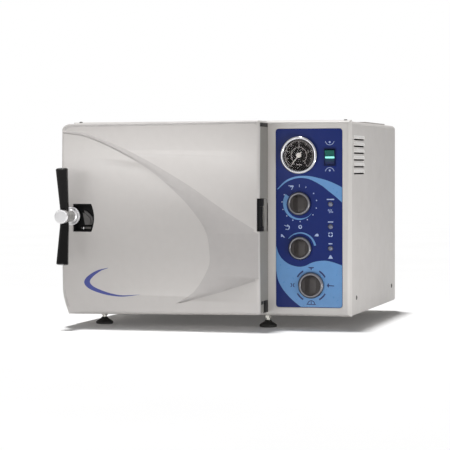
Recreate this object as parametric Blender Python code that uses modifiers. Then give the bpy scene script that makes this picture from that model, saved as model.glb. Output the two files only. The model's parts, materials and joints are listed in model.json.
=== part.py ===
"""Benchtop steam autoclave: cabinet, pressure chamber, hinged door with a T-handle, and a control panel.

Metres, +Z up, front towards -Y. The origin is under the middle of the object's box, on the ground.
"""

import math

import bmesh
import bpy
from mathutils import Matrix, Vector

# ---- Driving dimensions ----
WIDTH = 0.510
CABINET_DEPTH = 0.440
COVER_DEPTH = 0.063
HANDLE_REACH = 0.0574
REAR_REACH = 0.0058
FOOT_HEIGHT = 0.0215
FRAME_TOP = 0.3640
GAP = 0.0003

LENGTH = CABINET_DEPTH + COVER_DEPTH + HANDLE_REACH + REAR_REACH
HALF_W = WIDTH / 2
FRONT = -LENGTH / 2 + COVER_DEPTH + HANDLE_REACH
REAR = FRONT + CABINET_DEPTH
COVER_FACE = FRONT - COVER_DEPTH

# ---- Cabinet ----
FRAME_DEPTH = 0.014
FRAME_WALL = 0.0028
FRAME_ROUND = 0.008
SHEET = 0.0012
HOOD_HALF_W = HALF_W - 0.0015
HOOD_TOP = FRAME_TOP - 0.0015
HOOD_ROUND = 0.008
PAN_HEIGHT = 0.017
REAR_SHEET = 0.0015
LOUVRES = 6
LOUVRE_TOP = 0.3315
LOUVRE_PITCH = 0.0120
LOUVRE_START = 0.036
LOUVRE_LENGTH = 0.094

# ---- Chamber: a vessel lying along Y ----
CHAMBER_X = -0.064
CHAMBER_Z = 0.195
CHAMBER_R = 0.115
CHAMBER_WALL = 0.002
CHAMBER_BACK = 0.400
DISH = 0.024
FLANGE_R = 0.142
FLANGE_FRONT = 0.008
FLANGE_BACK = 0.006
LUG_HEIGHT = 0.048
HEATER_Y = (0.080, 0.340)
JACKET_R = 0.136

# ---- Trays in their rack ----
RACK_HALF_W = 0.0875
RACK_LENGTH = 0.370
RACK_START = 0.012
TRAY_WIDTH = 0.163
TRAY_LENGTH = 0.365
TRAY_DEPTH = 0.018
TRAY_LEVELS = (-0.052, -0.010, 0.032)
LEDGE = 0.0015

# ---- Door ----
HINGE_X = 0.101
HINGE_Y = FRONT - 0.044
HINGE_Z = 0.1985
HINGE_PIN_R = 0.0045
BARREL_R = 0.0080
COVER_LEFT = -0.2549
COVER_RIGHT = 0.108
COVER_BOTTOM = 0.0264
COVER_TOP = 0.3635
COVER_WALL = 0.003
COVER_ROUND = 0.006
COVER_DROOP = 0.0038
COVER_BACK_GAP = 0.002
SLOT_LOW = 0.171
SLOT_HIGH = 0.2285
SLOT_GAP = 0.0006
NOTCH_LEFT = -0.2325
NOTCH_RIGHT = -0.193
NOTCH_LOW = 0.169
NOTCH_HIGH = 0.2185
NOTCH_BOW = 0.0055
LINER_WALL = 0.0025
LINER_DEPTH = 0.011
DISC_R = 0.130
BRIDGE_BACK = FRONT - 0.039
BRIDGE_THICK = 0.010
BRIDGE_HEIGHT = 0.035

# ---- Closing handle ----
LATCH_X = -0.2348
LATCH_Z = 0.197
BOLT_R = 0.006
COLLAR_R = 0.0165
GRIP_LENGTH = 0.075
GRIP_TILT = math.radians(10)
LOCK_X = -0.211
LOCK_Z = 0.1815

# ---- Control panel ----
PANEL_LEFT = 0.1217
PANEL_RIGHT = 0.2406
PANEL_LOW = 0.0370
PANEL_HIGH = 0.3494
PANEL_CORNER = 0.005
PANEL_RECESS = 0.0016
PANEL_FACE = FRONT + 0.0005
GAUGE = (0.164, 0.303)
GAUGE_R = 0.033
SWITCH = (0.2184, 0.2995)
SWITCH_SIZE = (0.020, 0.031)
WELL_HALF_W = 0.0087
WELL_HALF_H = 0.0138
TIMER = (0.164, 0.2185)
THERMOSTAT = (0.1655, 0.1407)
VALVE = (0.185, 0.0759)
KNOB_R = 0.0208
VALVE_KNOB_R = 0.0230
KNOB_FACE = 0.0060
KNOB_RIM = 0.0068
KNOB_RIDGE = 0.0118
KNOB_SHAFT_R = 0.0030
LAMP_X = 0.2195
LAMP_HEIGHTS = (0.2178, 0.1786, 0.1407)
LAMP_R = 0.004

# ---- Water reservoir, in the cabinet's right half ----
TANK_X = (0.092, 0.243)
TANK_Y = (FRONT + 0.210, FRONT + 0.410)
TANK_Z = (0.220, 0.355)
LID_X = (0.100, 0.240)
LID_Y = (FRONT + 0.216, FRONT + 0.404)
LID_HINGE_R = 0.0022
LID_HINGE_Z = HOOD_TOP + GAP + LID_HINGE_R
RELIEF_X = 0.168
RELIEF_Y = FRONT + 0.300
PULL_STEM = 0.0110
PULL_LOOP_R = 0.0085
PULL_WIRE_R = 0.0011

# ---- Feet, and behind the rear panel ----
FOOT_X = (-0.2030, 0.1025)
FOOT_Y = (FRONT + 0.020, REAR - 0.060)
FOOT_R = 0.0155
FOOT_STUD_R = 0.0040
INLET = (0.190, 0.080)
RESET = (0.140, 0.080)


# ---- Materials ----
FINISHES = {
    "cabinet_paint": ((0.56, 0.52, 0.50), 0.45, 0.0),
    "cover_plastic": ((0.62, 0.57, 0.54), 0.42, 0.0),
    "stainless": ((0.62, 0.61, 0.59), 0.28, 1.0),
    "chrome": ((0.80, 0.80, 0.80), 0.08, 1.0),
    "steel": ((0.42, 0.42, 0.42), 0.38, 1.0),
    "brass": ((0.70, 0.50, 0.22), 0.30, 1.0),
    "copper": ((0.75, 0.38, 0.22), 0.32, 1.0),
    "black_grip": ((0.015, 0.014, 0.014), 0.38, 0.0),
    "black_plastic": ((0.012, 0.012, 0.013), 0.45, 0.0),
    "knob_plastic": ((0.30, 0.29, 0.28), 0.35, 0.2),
    "panel_blue": ((0.012, 0.030, 0.170), 0.35, 0.0),
    "dial_black": ((0.010, 0.010, 0.012), 0.50, 0.0),
    "needle_white": ((0.80, 0.80, 0.78), 0.50, 0.0),
    "clear_glass": ((0.90, 0.93, 0.93), 0.05, 0.0),
    "green_lens": ((0.02, 0.28, 0.22), 0.25, 0.0),
    "lamp_lens": ((0.35, 0.55, 0.50), 0.20, 0.0),
    "silicone": ((0.65, 0.30, 0.22), 0.60, 0.0),
    "rubber": ((0.015, 0.015, 0.015), 0.75, 0.0),
    "insulation": ((0.72, 0.70, 0.62), 0.95, 0.0),
    "reset_red": ((0.45, 0.02, 0.02), 0.40, 0.0),
}


def clear_scene():
    for old in list(bpy.data.objects):
        bpy.data.objects.remove(old, do_unlink=True)
    for name in ("Benchtop_autoclave", "Cutters"):
        bpy.context.scene.collection.children.link(bpy.data.collections.new(name))


def finish(name):
    """The named Principled material, made once."""
    if name in bpy.data.materials:
        return bpy.data.materials[name]
    colour, roughness, metallic = FINISHES[name]
    made = bpy.data.materials.new(name)
    made.use_nodes = True
    shader = made.node_tree.nodes["Principled BSDF"]
    shader.inputs["Base Color"].default_value = (*colour, 1.0)
    shader.inputs["Roughness"].default_value = roughness
    shader.inputs["Metallic"].default_value = metallic
    return made


# ---- Shapes added to a bmesh ----
AXIS_TURN = {
    "X": Matrix.Rotation(math.pi / 2, 4, "Y"),
    "Y": Matrix.Rotation(math.pi / 2, 4, "X"),
    "Z": Matrix.Identity(4),
}


def put_box(bm, low, high):
    low, high = Vector(low), Vector(high)
    size = Matrix.Diagonal((*(high - low), 1.0))
    return bmesh.ops.create_cube(bm, size=1.0, matrix=Matrix.Translation((low + high) / 2) @ size)["verts"]


def put_cylinder(bm, centre, axis, radius, length, sides=24, tip_radius=None):
    """A cylinder, or a cone whose tip_radius end is at -Y, +X or +Z."""
    place = Matrix.Translation(centre) @ AXIS_TURN[axis]
    bmesh.ops.create_cone(
        bm, cap_ends=True, segments=sides, radius1=radius,
        radius2=radius if tip_radius is None else tip_radius, depth=length, matrix=place,
    )


def put_prism(bm, outline, axis, low, high):
    """A flat outline, in the two other axes, extruded from low to high along axis."""
    index = "XYZ".index(axis)
    points = []
    for pair in outline:
        spot = list(pair)
        spot.insert(index, low)
        points.append(bm.verts.new(spot))
    face = bm.faces.new(points)
    grown = bmesh.ops.extrude_face_region(bm, geom=[face])["geom"]
    shift = [0.0, 0.0, 0.0]
    shift[index] = high - low
    moved = [item for item in grown if isinstance(item, bmesh.types.BMVert)]
    bmesh.ops.translate(bm, verts=moved, vec=shift)
    return moved


def round_edges(bm, test, radius, segments=3):
    """Bevels the edges whose two ends both pass the test."""
    edges = [edge for edge in bm.edges if all(test(vert.co) for vert in edge.verts)]
    bmesh.ops.bevel(bm, geom=edges, offset=radius, segments=segments, profile=0.5, affect="EDGES")


# ---- Objects ----
def object_from(bm, name, material, pivot=(0, 0, 0), cutter=False):
    bmesh.ops.recalc_face_normals(bm, faces=bm.faces)
    bmesh.ops.translate(bm, verts=bm.verts, vec=-Vector(pivot))
    mesh = bpy.data.meshes.new(name)
    bm.to_mesh(mesh)
    bm.free()
    if not cutter:
        mesh.shade_smooth()
        mesh.set_sharp_from_angle(angle=math.radians(35))
    return placed(mesh, name, material, pivot, cutter)


def placed(data, name, material, pivot=(0, 0, 0), cutter=False):
    made = bpy.data.objects.new(name, data)
    made.location = pivot
    bpy.data.collections["Cutters" if cutter else "Benchtop_autoclave"].objects.link(made)
    if cutter:
        made.hide_render = True
        made.display_type = "WIRE"
    else:
        data.materials.append(finish(material))
    return made


def boolean(target, other, operation="DIFFERENCE"):
    step = target.modifiers.new(f"{operation.title()} {other.name}", "BOOLEAN")
    step.operation = operation
    step.solver = "EXACT"
    step.object = other


def cutting(name, shapes):
    """A cutter from a function that fills a bmesh."""
    bm = bmesh.new()
    shapes(bm)
    return object_from(bm, name, None, cutter=True)


def solid(name, material, shapes, pivot=(0, 0, 0)):
    bm = bmesh.new()
    shapes(bm)
    return object_from(bm, name, material, pivot)


def turned(name, material, profile, place, axis="Y", sides=32, ring=False, cutter=False):
    """A turned shape. The profile is (radius, height) points, from its top down its outer side.

    Height runs along +Z, or towards the front when the axis is Y. A ring's profile is a closed loop.
    """
    count = len(profile)
    edges = [(index, index + 1) for index in range(count - 1)]
    if ring:
        edges.append((count - 1, 0))
    mesh = bpy.data.meshes.new(name)
    mesh.from_pydata([(radius, 0.0, height) for radius, height in profile], edges, [])
    made = placed(mesh, name, material, place, cutter)
    if axis == "Y":
        made.rotation_euler.x = math.pi / 2
    screw = made.modifiers.new("Turn", "SCREW")
    screw.axis = "Z"
    screw.steps = sides
    screw.render_steps = sides
    screw.use_merge_vertices = True
    screw.merge_threshold = 0.00001
    screw.use_smooth_shade = False
    return made


def ring_profile(inner, outer, low, high):
    return [(inner, high), (outer, high), (outer, low), (inner, low)]


def arc(centre, radii, start, stop, steps):
    """Points on an ellipse's arc, with angles in degrees."""
    angles = [math.radians(start + (stop - start) * step / steps) for step in range(steps + 1)]
    return [(centre[0] + radii[0] * math.cos(a), centre[1] + radii[1] * math.sin(a)) for a in angles]


def rounded_rectangle(left, right, low, high, radius, steps=4):
    pair = (radius, radius)
    return (
        arc((right - radius, high - radius), pair, 0, 90, steps)
        + arc((left + radius, high - radius), pair, 90, 180, steps)
        + arc((left + radius, low + radius), pair, 180, 270, steps)
        + arc((right - radius, low + radius), pair, 270, 360, steps)
    )


def tube(name, material, route, radius, bevel_resolution=2):
    data = bpy.data.curves.new(name, "CURVE")
    data.dimensions = "3D"
    data.bevel_depth = radius
    data.bevel_resolution = bevel_resolution
    data.use_fill_caps = True
    line = data.splines.new("POLY")
    line.points.add(len(route) - 1)
    for point, spot in zip(line.points, route):
        point.co = (*spot, 1.0)
    return placed(data, name, material)


# ---- Cabinet ----
def make_base_pan():
    left, right = -HOOD_HALF_W + SHEET + GAP, HOOD_HALF_W - SHEET - GAP
    near, far = FRONT + FRAME_WALL + GAP, REAR - REAR_SHEET - GAP
    pan = solid("base_pan", "steel", lambda bm: put_box(
        bm, (left, near + FRAME_DEPTH, FOOT_HEIGHT), (right, far, FOOT_HEIGHT + PAN_HEIGHT)))
    inside = cutting("base_pan_inside", lambda bm: put_box(
        bm, (left + SHEET, near + FRAME_DEPTH + SHEET, FOOT_HEIGHT + SHEET),
        (right - SHEET, far - SHEET, FOOT_HEIGHT + 2 * PAN_HEIGHT)))
    boolean(pan, inside)


def make_front_frame():
    back = FRONT + FRAME_DEPTH

    def block(bm, inset, far):
        put_box(bm, (-HALF_W + inset, FRONT + inset, FOOT_HEIGHT + inset), (HALF_W - inset, far, FRAME_TOP - inset))
        round_edges(bm, lambda spot: spot.y < FRONT + inset + 0.0001, FRAME_ROUND - inset, 3)

    frame = solid("front_frame", "cabinet_paint", lambda bm: block(bm, 0.0, back))
    boolean(frame, cutting("front_frame_inside", lambda bm: block(bm, FRAME_WALL, back + 0.01)))
    boolean(frame, cutting("chamber_opening", lambda bm: put_cylinder(
        bm, (CHAMBER_X, FRONT, CHAMBER_Z), "Y", FLANGE_R + 0.001, 0.05, 48)))
    boolean(frame, cutting("lug_opening", lambda bm: put_box(
        bm, (LATCH_X - 0.0135, FRONT - 0.01, CHAMBER_Z - LUG_HEIGHT / 2 - 0.001),
        (COVER_RIGHT - 0.0005, FRONT + 0.01, CHAMBER_Z + LUG_HEIGHT / 2 + 0.001))))
    boolean(frame, cutting("panel_recess", lambda bm: put_prism(
        bm, rounded_rectangle(PANEL_LEFT - GAP, PANEL_RIGHT + GAP, PANEL_LOW - GAP, PANEL_HIGH + GAP,
                              PANEL_CORNER), "Y", FRONT - 0.01, FRONT + PANEL_RECESS)))
    boolean(frame, cutting("frame_control_holes", control_holes))


def control_holes(bm):
    """Round and square holes through the panel for the gauge, the switch, the shafts and the lamps."""
    put_cylinder(bm, (GAUGE[0], FRONT, GAUGE[1]), "Y", 0.0275, 0.03, 32)
    for spot in (TIMER, THERMOSTAT, VALVE):
        put_cylinder(bm, (spot[0], FRONT, spot[1]), "Y", 0.0045, 0.03, 16)
    for height in LAMP_HEIGHTS:
        put_cylinder(bm, (LAMP_X, FRONT, height), "Y", LAMP_R + 0.0005, 0.03, 16)
    half_w, half_h = SWITCH_SIZE[0] / 2 - 0.0003, SWITCH_SIZE[1] / 2 - 0.0003
    put_box(bm, (SWITCH[0] - half_w, FRONT - 0.015, SWITCH[1] - half_h),
            (SWITCH[0] + half_w, FRONT + 0.015, SWITCH[1] + half_h))


def louvre_places():
    for index in range(LOUVRES):
        yield LOUVRE_TOP - index * LOUVRE_PITCH


def make_hood():
    near, far = FRONT + FRAME_DEPTH + GAP, REAR - 0.001
    low = FOOT_HEIGHT + 0.002
    section = (
        [(-HOOD_HALF_W, low)]
        + arc((-HOOD_HALF_W + HOOD_ROUND, HOOD_TOP - HOOD_ROUND), (HOOD_ROUND, HOOD_ROUND), 180, 90, 4)
        + arc((HOOD_HALF_W - HOOD_ROUND, HOOD_TOP - HOOD_ROUND), (HOOD_ROUND, HOOD_ROUND), 90, 0, 4)
        + [(HOOD_HALF_W, low)]
    )
    inner_round = HOOD_ROUND - SHEET
    inner = (
        [(HOOD_HALF_W - SHEET, low)]
        + arc((HOOD_HALF_W - HOOD_ROUND, HOOD_TOP - HOOD_ROUND), (inner_round, inner_round), 0, 90, 4)
        + arc((-HOOD_HALF_W + HOOD_ROUND, HOOD_TOP - HOOD_ROUND), (inner_round, inner_round), 90, 180, 4)
        + [(-HOOD_HALF_W + SHEET, low)]
    )
    hood = solid("hood", "cabinet_paint", lambda bm: put_prism(bm, section + inner, "Y", near, far))

    def scoops(bm):
        """Each louvre leans out of the sheet over its slot."""
        for side in (-1, 1):
            face = side * HOOD_HALF_W
            for height in louvre_places():
                root, tip = face - side * 0.0008, face + side * 0.0014
                wedge = [(root, height + 0.0085), (tip, height + 0.0025), (tip, height + 0.0010),
                         (root, height + 0.0010)]
                put_prism(bm, wedge, "Y", FRONT + LOUVRE_START, FRONT + LOUVRE_START + LOUVRE_LENGTH)

    def slots(bm):
        for side in (-1, 1):
            face = side * HOOD_HALF_W
            for height in louvre_places():
                put_box(bm, (face - 0.004, FRONT + LOUVRE_START + 0.002, height - 0.0022),
                        (face + 0.004, FRONT + LOUVRE_START + LOUVRE_LENGTH - 0.002, height + 0.0005))

    boolean(hood, cutting("louvre_scoops", scoops), "UNION")
    boolean(hood, cutting("louvre_slots", slots))
    boolean(hood, cutting("hood_fill_opening", lambda bm: put_box(
        bm, (LID_X[0] + 0.008, LID_Y[0] + 0.008, HOOD_TOP - 0.01),
        (LID_X[1] - 0.008, LID_Y[1] - 0.010, HOOD_TOP + 0.01))))


def make_rear_panel():
    half = HOOD_HALF_W - SHEET - GAP
    panel = solid("rear_panel", "cabinet_paint", lambda bm: put_box(
        bm, (-half, REAR - REAR_SHEET, FOOT_HEIGHT + 0.001), (half, REAR, HOOD_TOP - HOOD_ROUND)))

    def openings(bm):
        put_box(bm, (INLET[0] - 0.0145, REAR - 0.01, INLET[1] - 0.0105),
                (INLET[0] + 0.0145, REAR + 0.01, INLET[1] + 0.0105))
        put_cylinder(bm, (RESET[0], REAR, RESET[1]), "Y", 0.0065, 0.02, 16)
        for column in (-1, 1):
            for row in range(6):
                middle = column * 0.130
                level = 0.250 + row * 0.012
                put_box(bm, (middle - 0.040, REAR - 0.01, level), (middle + 0.040, REAR + 0.01, level + 0.004))

    boolean(panel, cutting("rear_openings", openings))


def make_feet():
    """A low rubber cone with a thick rim, on a round stud, under each corner of the pan."""
    stud_top = FOOT_HEIGHT - GAP
    profile = [(0.0, stud_top), (FOOT_STUD_R, stud_top), (FOOT_STUD_R, 0.0125), (FOOT_STUD_R + 0.0010, 0.0120),
               (0.0085, 0.0085), (0.0140, 0.0062), (FOOT_R, 0.0045), (FOOT_R, 0.0008),
               (FOOT_R - 0.0008, 0.0), (0.0, 0.0)]
    for row, y in zip(("front", "rear"), FOOT_Y):
        for side, x in zip(("left", "right"), FOOT_X):
            turned(f"foot_{row}_{side}", "rubber", profile, (x, y, 0.0), axis="Z", sides=24)


# ---- Chamber ----
def make_vessel():
    outer = CHAMBER_R + CHAMBER_WALL
    front = FLANGE_FRONT
    dish = [(outer * math.cos(a), -CHAMBER_BACK - DISH * math.sin(a))
            for a in (math.radians(step * 15) for step in range(7))]
    dish[-1] = (0.0, -CHAMBER_BACK - DISH)
    inner = [(CHAMBER_R * math.cos(a), -CHAMBER_BACK - (DISH - CHAMBER_WALL) * math.sin(a))
             for a in (math.radians(step * 15) for step in range(7))]
    inner[-1] = (0.0, -CHAMBER_BACK - DISH + CHAMBER_WALL)
    profile = [(CHAMBER_R, front), (outer, front)] + dish
    profile = list(reversed(inner)) + profile
    turned("chamber_vessel", "stainless", profile, (CHAMBER_X, FRONT, CHAMBER_Z), sides=48)


def make_flange():
    flange = turned("chamber_flange", "stainless",
                    ring_profile(CHAMBER_R + CHAMBER_WALL + GAP, FLANGE_R, -FLANGE_BACK, FLANGE_FRONT),
                    (CHAMBER_X, FRONT, CHAMBER_Z), sides=48, ring=True)

    def lugs(bm):
        low, high = CHAMBER_Z - LUG_HEIGHT / 2, CHAMBER_Z + LUG_HEIGHT / 2
        inner = FLANGE_R - 0.012
        put_box(bm, (LATCH_X - 0.012, FRONT - FLANGE_FRONT + 0.0005, low),
                (CHAMBER_X - inner, FRONT + FLANGE_BACK - 0.0005, high))
        put_box(bm, (CHAMBER_X + inner, FRONT - FLANGE_FRONT + 0.0005, low),
                (COVER_RIGHT - 0.002, FRONT + FLANGE_BACK - 0.0005, high))

    boolean(flange, cutting("flange_lugs", lugs), "UNION")


def make_heating():
    shell = CHAMBER_R + CHAMBER_WALL
    turned("heater_band", "steel", ring_profile(shell + GAP, shell + 0.0035, -HEATER_Y[1], -HEATER_Y[0]),
           (CHAMBER_X, FRONT, CHAMBER_Z), sides=48, ring=True)
    turned("insulation_jacket", "insulation",
           ring_profile(shell + 0.0045, JACKET_R, -CHAMBER_BACK + 0.006, -0.018),
           (CHAMBER_X, FRONT, CHAMBER_Z), sides=32, ring=True)


def make_cradle():
    floor = FOOT_HEIGHT + SHEET + GAP
    near, far = FRONT + 0.070, FRONT + 0.330
    cradle = solid("chamber_cradle", "steel", lambda bm: put_box(
        bm, (CHAMBER_X - 0.100, near, floor), (CHAMBER_X + 0.100, far, floor + 0.002)))

    def saddles(bm):
        for y in (near, far - 0.003):
            put_box(bm, (CHAMBER_X - 0.0998, y + 0.0002, floor + 0.001), (CHAMBER_X + 0.0998, y + 0.0028, 0.115))

    boolean(cradle, cutting("cradle_saddles", saddles), "UNION")
    boolean(cradle, cutting("cradle_hollow", lambda bm: put_cylinder(
        bm, (CHAMBER_X, FRONT + 0.2, CHAMBER_Z), "Y", JACKET_R + 0.0010, 0.4, 32)))


def make_rack_and_trays():
    near, far = FRONT + RACK_START, FRONT + RACK_START + RACK_LENGTH
    low, high = CHAMBER_Z - 0.0725, CHAMBER_Z + 0.060

    def side_plate(bm, side):
        outer = CHAMBER_X + side * RACK_HALF_W
        inner = outer - side * 0.0015
        put_box(bm, (min(inner, outer), near, low), (max(inner, outer), far, high))

    rack = solid("tray_rack", "stainless", lambda bm: (side_plate(bm, -1), side_plate(bm, 1)))

    def ledges(bm):
        for side in (-1, 1):
            plate = CHAMBER_X + side * (RACK_HALF_W - 0.0008)
            tip = CHAMBER_X + side * (TRAY_WIDTH / 2 - 0.004)
            for level in TRAY_LEVELS:
                top = CHAMBER_Z + level - GAP
                put_box(bm, (min(plate, tip), near + 0.004, top - LEDGE), (max(plate, tip), far - 0.004, top))

    def bars(bm):
        for y in (near + 0.010, far - 0.022):
            put_box(bm, (CHAMBER_X - RACK_HALF_W + 0.0007, y, low + 0.002),
                    (CHAMBER_X + RACK_HALF_W - 0.0007, y + 0.012, low + 0.005))

    def windows(bm):
        for level in TRAY_LEVELS:
            for index in range(2):
                y = near + 0.040 + index * 0.170
                put_box(bm, (CHAMBER_X - 0.1, y, CHAMBER_Z + level + 0.004),
                        (CHAMBER_X + 0.1, y + 0.120, CHAMBER_Z + level + 0.024))

    boolean(rack, cutting("rack_ledges", ledges), "UNION")
    boolean(rack, cutting("rack_bars", bars), "UNION")
    boolean(rack, cutting("rack_windows", windows))
    for name, level in zip(("tray_lower", "tray_middle", "tray_upper"), TRAY_LEVELS):
        make_tray(name, CHAMBER_Z + level)


def make_tray(name, floor):
    half = TRAY_WIDTH / 2
    near = FRONT + RACK_START + 0.002
    tray = solid(name, "stainless", lambda bm: put_box(
        bm, (CHAMBER_X - half, near, floor), (CHAMBER_X + half, near + TRAY_LENGTH, floor + TRAY_DEPTH)))
    boolean(tray, cutting(f"{name}_inside", lambda bm: put_box(
        bm, (CHAMBER_X - half + SHEET, near + SHEET, floor + SHEET),
        (CHAMBER_X + half - SHEET, near + TRAY_LENGTH - SHEET, floor + 0.03))))


# ---- Water side ----
def make_reservoir():
    tank = solid("water_reservoir", "stainless", lambda bm: put_box(
        bm, (TANK_X[0], TANK_Y[0], TANK_Z[0]), (TANK_X[1], TANK_Y[1], TANK_Z[1])))
    boolean(tank, cutting("reservoir_inside", lambda bm: put_box(
        bm, (TANK_X[0] + 0.0015, TANK_Y[0] + 0.0015, TANK_Z[0] + 0.0015),
        (TANK_X[1] - 0.0015, TANK_Y[1] - 0.0015, TANK_Z[1] + 0.02))))

    def coil_point(step):
        angle = 2 * math.pi * step / 12
        return (RELIEF_X + 0.048 * math.cos(angle), RELIEF_Y + 0.060 * math.sin(angle),
                TANK_Z[0] + 0.012 + 0.0140 * step / 12)

    tube("condenser_coil", "copper", [coil_point(step) for step in range(37)], 0.003, 1)


def make_reservoir_lid():
    plate_low = HOOD_TOP + GAP
    axis_y = LID_Y[1]
    lid = solid("reservoir_lid", "cabinet_paint", lambda bm: put_box(
        bm, (LID_X[0], LID_Y[0], plate_low), (LID_X[1], axis_y - 0.0027, plate_low + 0.0025)),
        (0, axis_y, LID_HINGE_Z))

    def lip(bm):
        put_box(bm, (LID_X[0] + 0.0095, LID_Y[0] + 0.0095, plate_low - 0.0035),
                (LID_X[1] - 0.0095, LID_Y[1] - 0.0125, plate_low + 0.001))

    def tab(bm):
        put_box(bm, (sum(LID_X) / 2 - 0.0395, axis_y - 0.0040, plate_low + 0.0004),
                (sum(LID_X) / 2 + 0.0395, axis_y, plate_low + 0.0021))

    def barrel(bm):
        put_cylinder(bm, (sum(LID_X) / 2, axis_y, LID_HINGE_Z), "X", LID_HINGE_R, 0.080, 12)

    boolean(lid, cutting("lid_lip", lip), "UNION")
    boolean(lid, cutting("lid_tab", tab), "UNION")
    boolean(lid, cutting("lid_barrel", barrel), "UNION")

    middle = sum(LID_X) / 2
    hinge = solid("lid_hinge", "steel", lambda bm: put_box(
        bm, (middle - 0.0563, axis_y + 0.0035, plate_low), (middle + 0.0563, axis_y + 0.0120, plate_low + 0.0012)))

    def knuckles(bm):
        for side in (-1, 1):
            put_cylinder(bm, (middle + side * 0.0483, axis_y, LID_HINGE_Z), "X", LID_HINGE_R, 0.0160, 12)

    def leaves(bm):
        for side in (-1, 1):
            put_box(bm, (middle + side * 0.0483 - 0.0078, axis_y + 0.0002, plate_low + 0.0001),
                    (middle + side * 0.0483 + 0.0078, axis_y + 0.0060, plate_low + 0.0011))

    boolean(hinge, cutting("lid_hinge_leaves", leaves), "UNION")
    boolean(hinge, cutting("lid_hinge_knuckles", knuckles), "UNION")


def make_relief_valve():
    floor = TANK_Z[0] + 0.0015 + GAP
    profile = [(0.0, 0.090), (0.006, 0.090), (0.009, 0.086), (0.009, 0.050), (0.012, 0.048),
               (0.012, 0.030), (0.008, 0.028), (0.008, 0.006), (0.013, 0.005), (0.013, 0.0), (0.0, 0.0)]
    turned("safety_valve", "brass", profile, (RELIEF_X, RELIEF_Y, floor), axis="Z", sides=20)
    stem = floor + 0.0903
    pull = solid("safety_valve_ring", "steel", lambda bm: put_cylinder(
        bm, (RELIEF_X, RELIEF_Y, stem + PULL_STEM / 2), "Z", 0.0022, PULL_STEM, 10))
    loop = turned("pull_loop", None, arc((PULL_LOOP_R, 0.0), (PULL_WIRE_R, PULL_WIRE_R), 0, 315, 7),
                  (RELIEF_X, RELIEF_Y, stem + PULL_STEM + PULL_LOOP_R - PULL_WIRE_R), sides=20, ring=True,
                  cutter=True)
    boolean(pull, loop, "UNION")


def make_drain_valve():
    x, z = 0.030, 0.047
    body = [(0.0, 0.014), (0.0045, 0.014), (0.0045, 0.009), (0.0085, 0.009), (0.0085, GAP), (0.0, GAP)]
    turned("drain_valve", "brass", body, (x, FRONT, z), sides=16)

    def lever(bm):
        put_cylinder(bm, (x, FRONT - 0.0178, z), "Y", 0.0065, 0.0070, 16)

    handle = solid("drain_lever", "reset_red", lever, (x, FRONT, z))
    boolean(handle, cutting("drain_lever_arm", lambda bm: put_box(
        bm, (x - 0.0040, FRONT - 0.0205, z), (x + 0.0040, FRONT - 0.0150, z + 0.026))), "UNION")


# ---- Door ----
def cover_outline(inset):
    """The door cover's outline as (x, z). Its free end hangs a little lower than its hinged end."""
    left, right = COVER_LEFT + inset, COVER_RIGHT - inset
    low, high = COVER_BOTTOM + inset, COVER_TOP - inset
    points = (
        arc((right - 0.005, high - 0.005), (0.005, 0.005), 0, 90, 2)
        + arc((left + 0.016, high - 0.010), (0.016, 0.010), 90, 180, 5)
        + [(left, low + 0.0420), (left + 0.0018, low + 0.0280), (left + 0.0105, low)]
        + arc((right - 0.005, low + 0.005), (0.005, 0.005), 270, 360, 2)
    )
    droop = COVER_DROOP / (COVER_RIGHT - COVER_LEFT)
    return [(x, z - droop * (COVER_RIGHT - x)) for x, z in points]


def make_door_cover():
    pivot = (HINGE_X, HINGE_Y, HINGE_Z)
    back = FRONT - COVER_BACK_GAP

    def block(bm, inset, far):
        face = COVER_FACE + inset
        put_prism(bm, cover_outline(inset), "Y", far, face)
        bm.normal_update()
        round_edges(bm, lambda spot: spot.y < face + 0.0001, COVER_ROUND - inset, 4)

    cover = solid("door_cover", "cover_plastic", lambda bm: block(bm, 0.0, back), pivot)
    boolean(cover, cutting("door_cover_inside", lambda bm: block(bm, COVER_WALL, back + 0.01)))
    boolean(cover, cutting("hinge_slot", lambda bm: put_box(
        bm, (COVER_RIGHT - 0.012, COVER_FACE + 0.0035, SLOT_LOW), (COVER_RIGHT + 0.01, FRONT + 0.01, SLOT_HIGH))))
    boolean(cover, cutting("hinge_slot_front", lambda bm: put_box(
        bm, (COVER_RIGHT - 0.0050, COVER_FACE - 0.01, SLOT_LOW), (COVER_RIGHT + 0.01, FRONT, SLOT_HIGH))))
    boolean(cover, cutting("latch_notch", lambda bm: put_prism(
        bm, notch_outline(0.0), "Y", COVER_FACE - 0.01, FRONT + 0.01)))
    boolean(cover, cutting("closing_bolt_hole", lambda bm: put_cylinder(
        bm, (LATCH_X, COVER_FACE, LATCH_Z), "Y", BOLT_R + 0.001, 0.04, 24)))


def notch_outline(inset):
    """The latch's opening, bowed at its right."""
    middle = (NOTCH_LOW + NOTCH_HIGH) / 2
    half = (NOTCH_HIGH - NOTCH_LOW) / 2 - inset
    left, right = NOTCH_LEFT + inset, NOTCH_RIGHT - inset
    curve = [(right - NOTCH_BOW * (step / 3) ** 2, middle + half * step / 3) for step in range(-3, 4)]
    return [(left, middle - half)] + curve + [(left, middle + half)]


def make_latch_recess():
    """A black tray in the notch. The closing bolt passes through its left wall and floor."""
    floor_near = COVER_FACE + LINER_DEPTH
    liner = solid("latch_recess", "black_plastic", lambda bm: put_prism(
        bm, notch_outline(GAP), "Y", COVER_FACE + 0.0012, floor_near + 0.003), (HINGE_X, HINGE_Y, HINGE_Z))
    boolean(liner, cutting("latch_recess_pocket", lambda bm: put_prism(
        bm, notch_outline(LINER_WALL), "Y", COVER_FACE - 0.01, floor_near)))
    boolean(liner, cutting("latch_recess_hole", lambda bm: put_cylinder(
        bm, (LATCH_X, COVER_FACE, LATCH_Z), "Y", BOLT_R + 0.001, 0.06, 24)))


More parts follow.
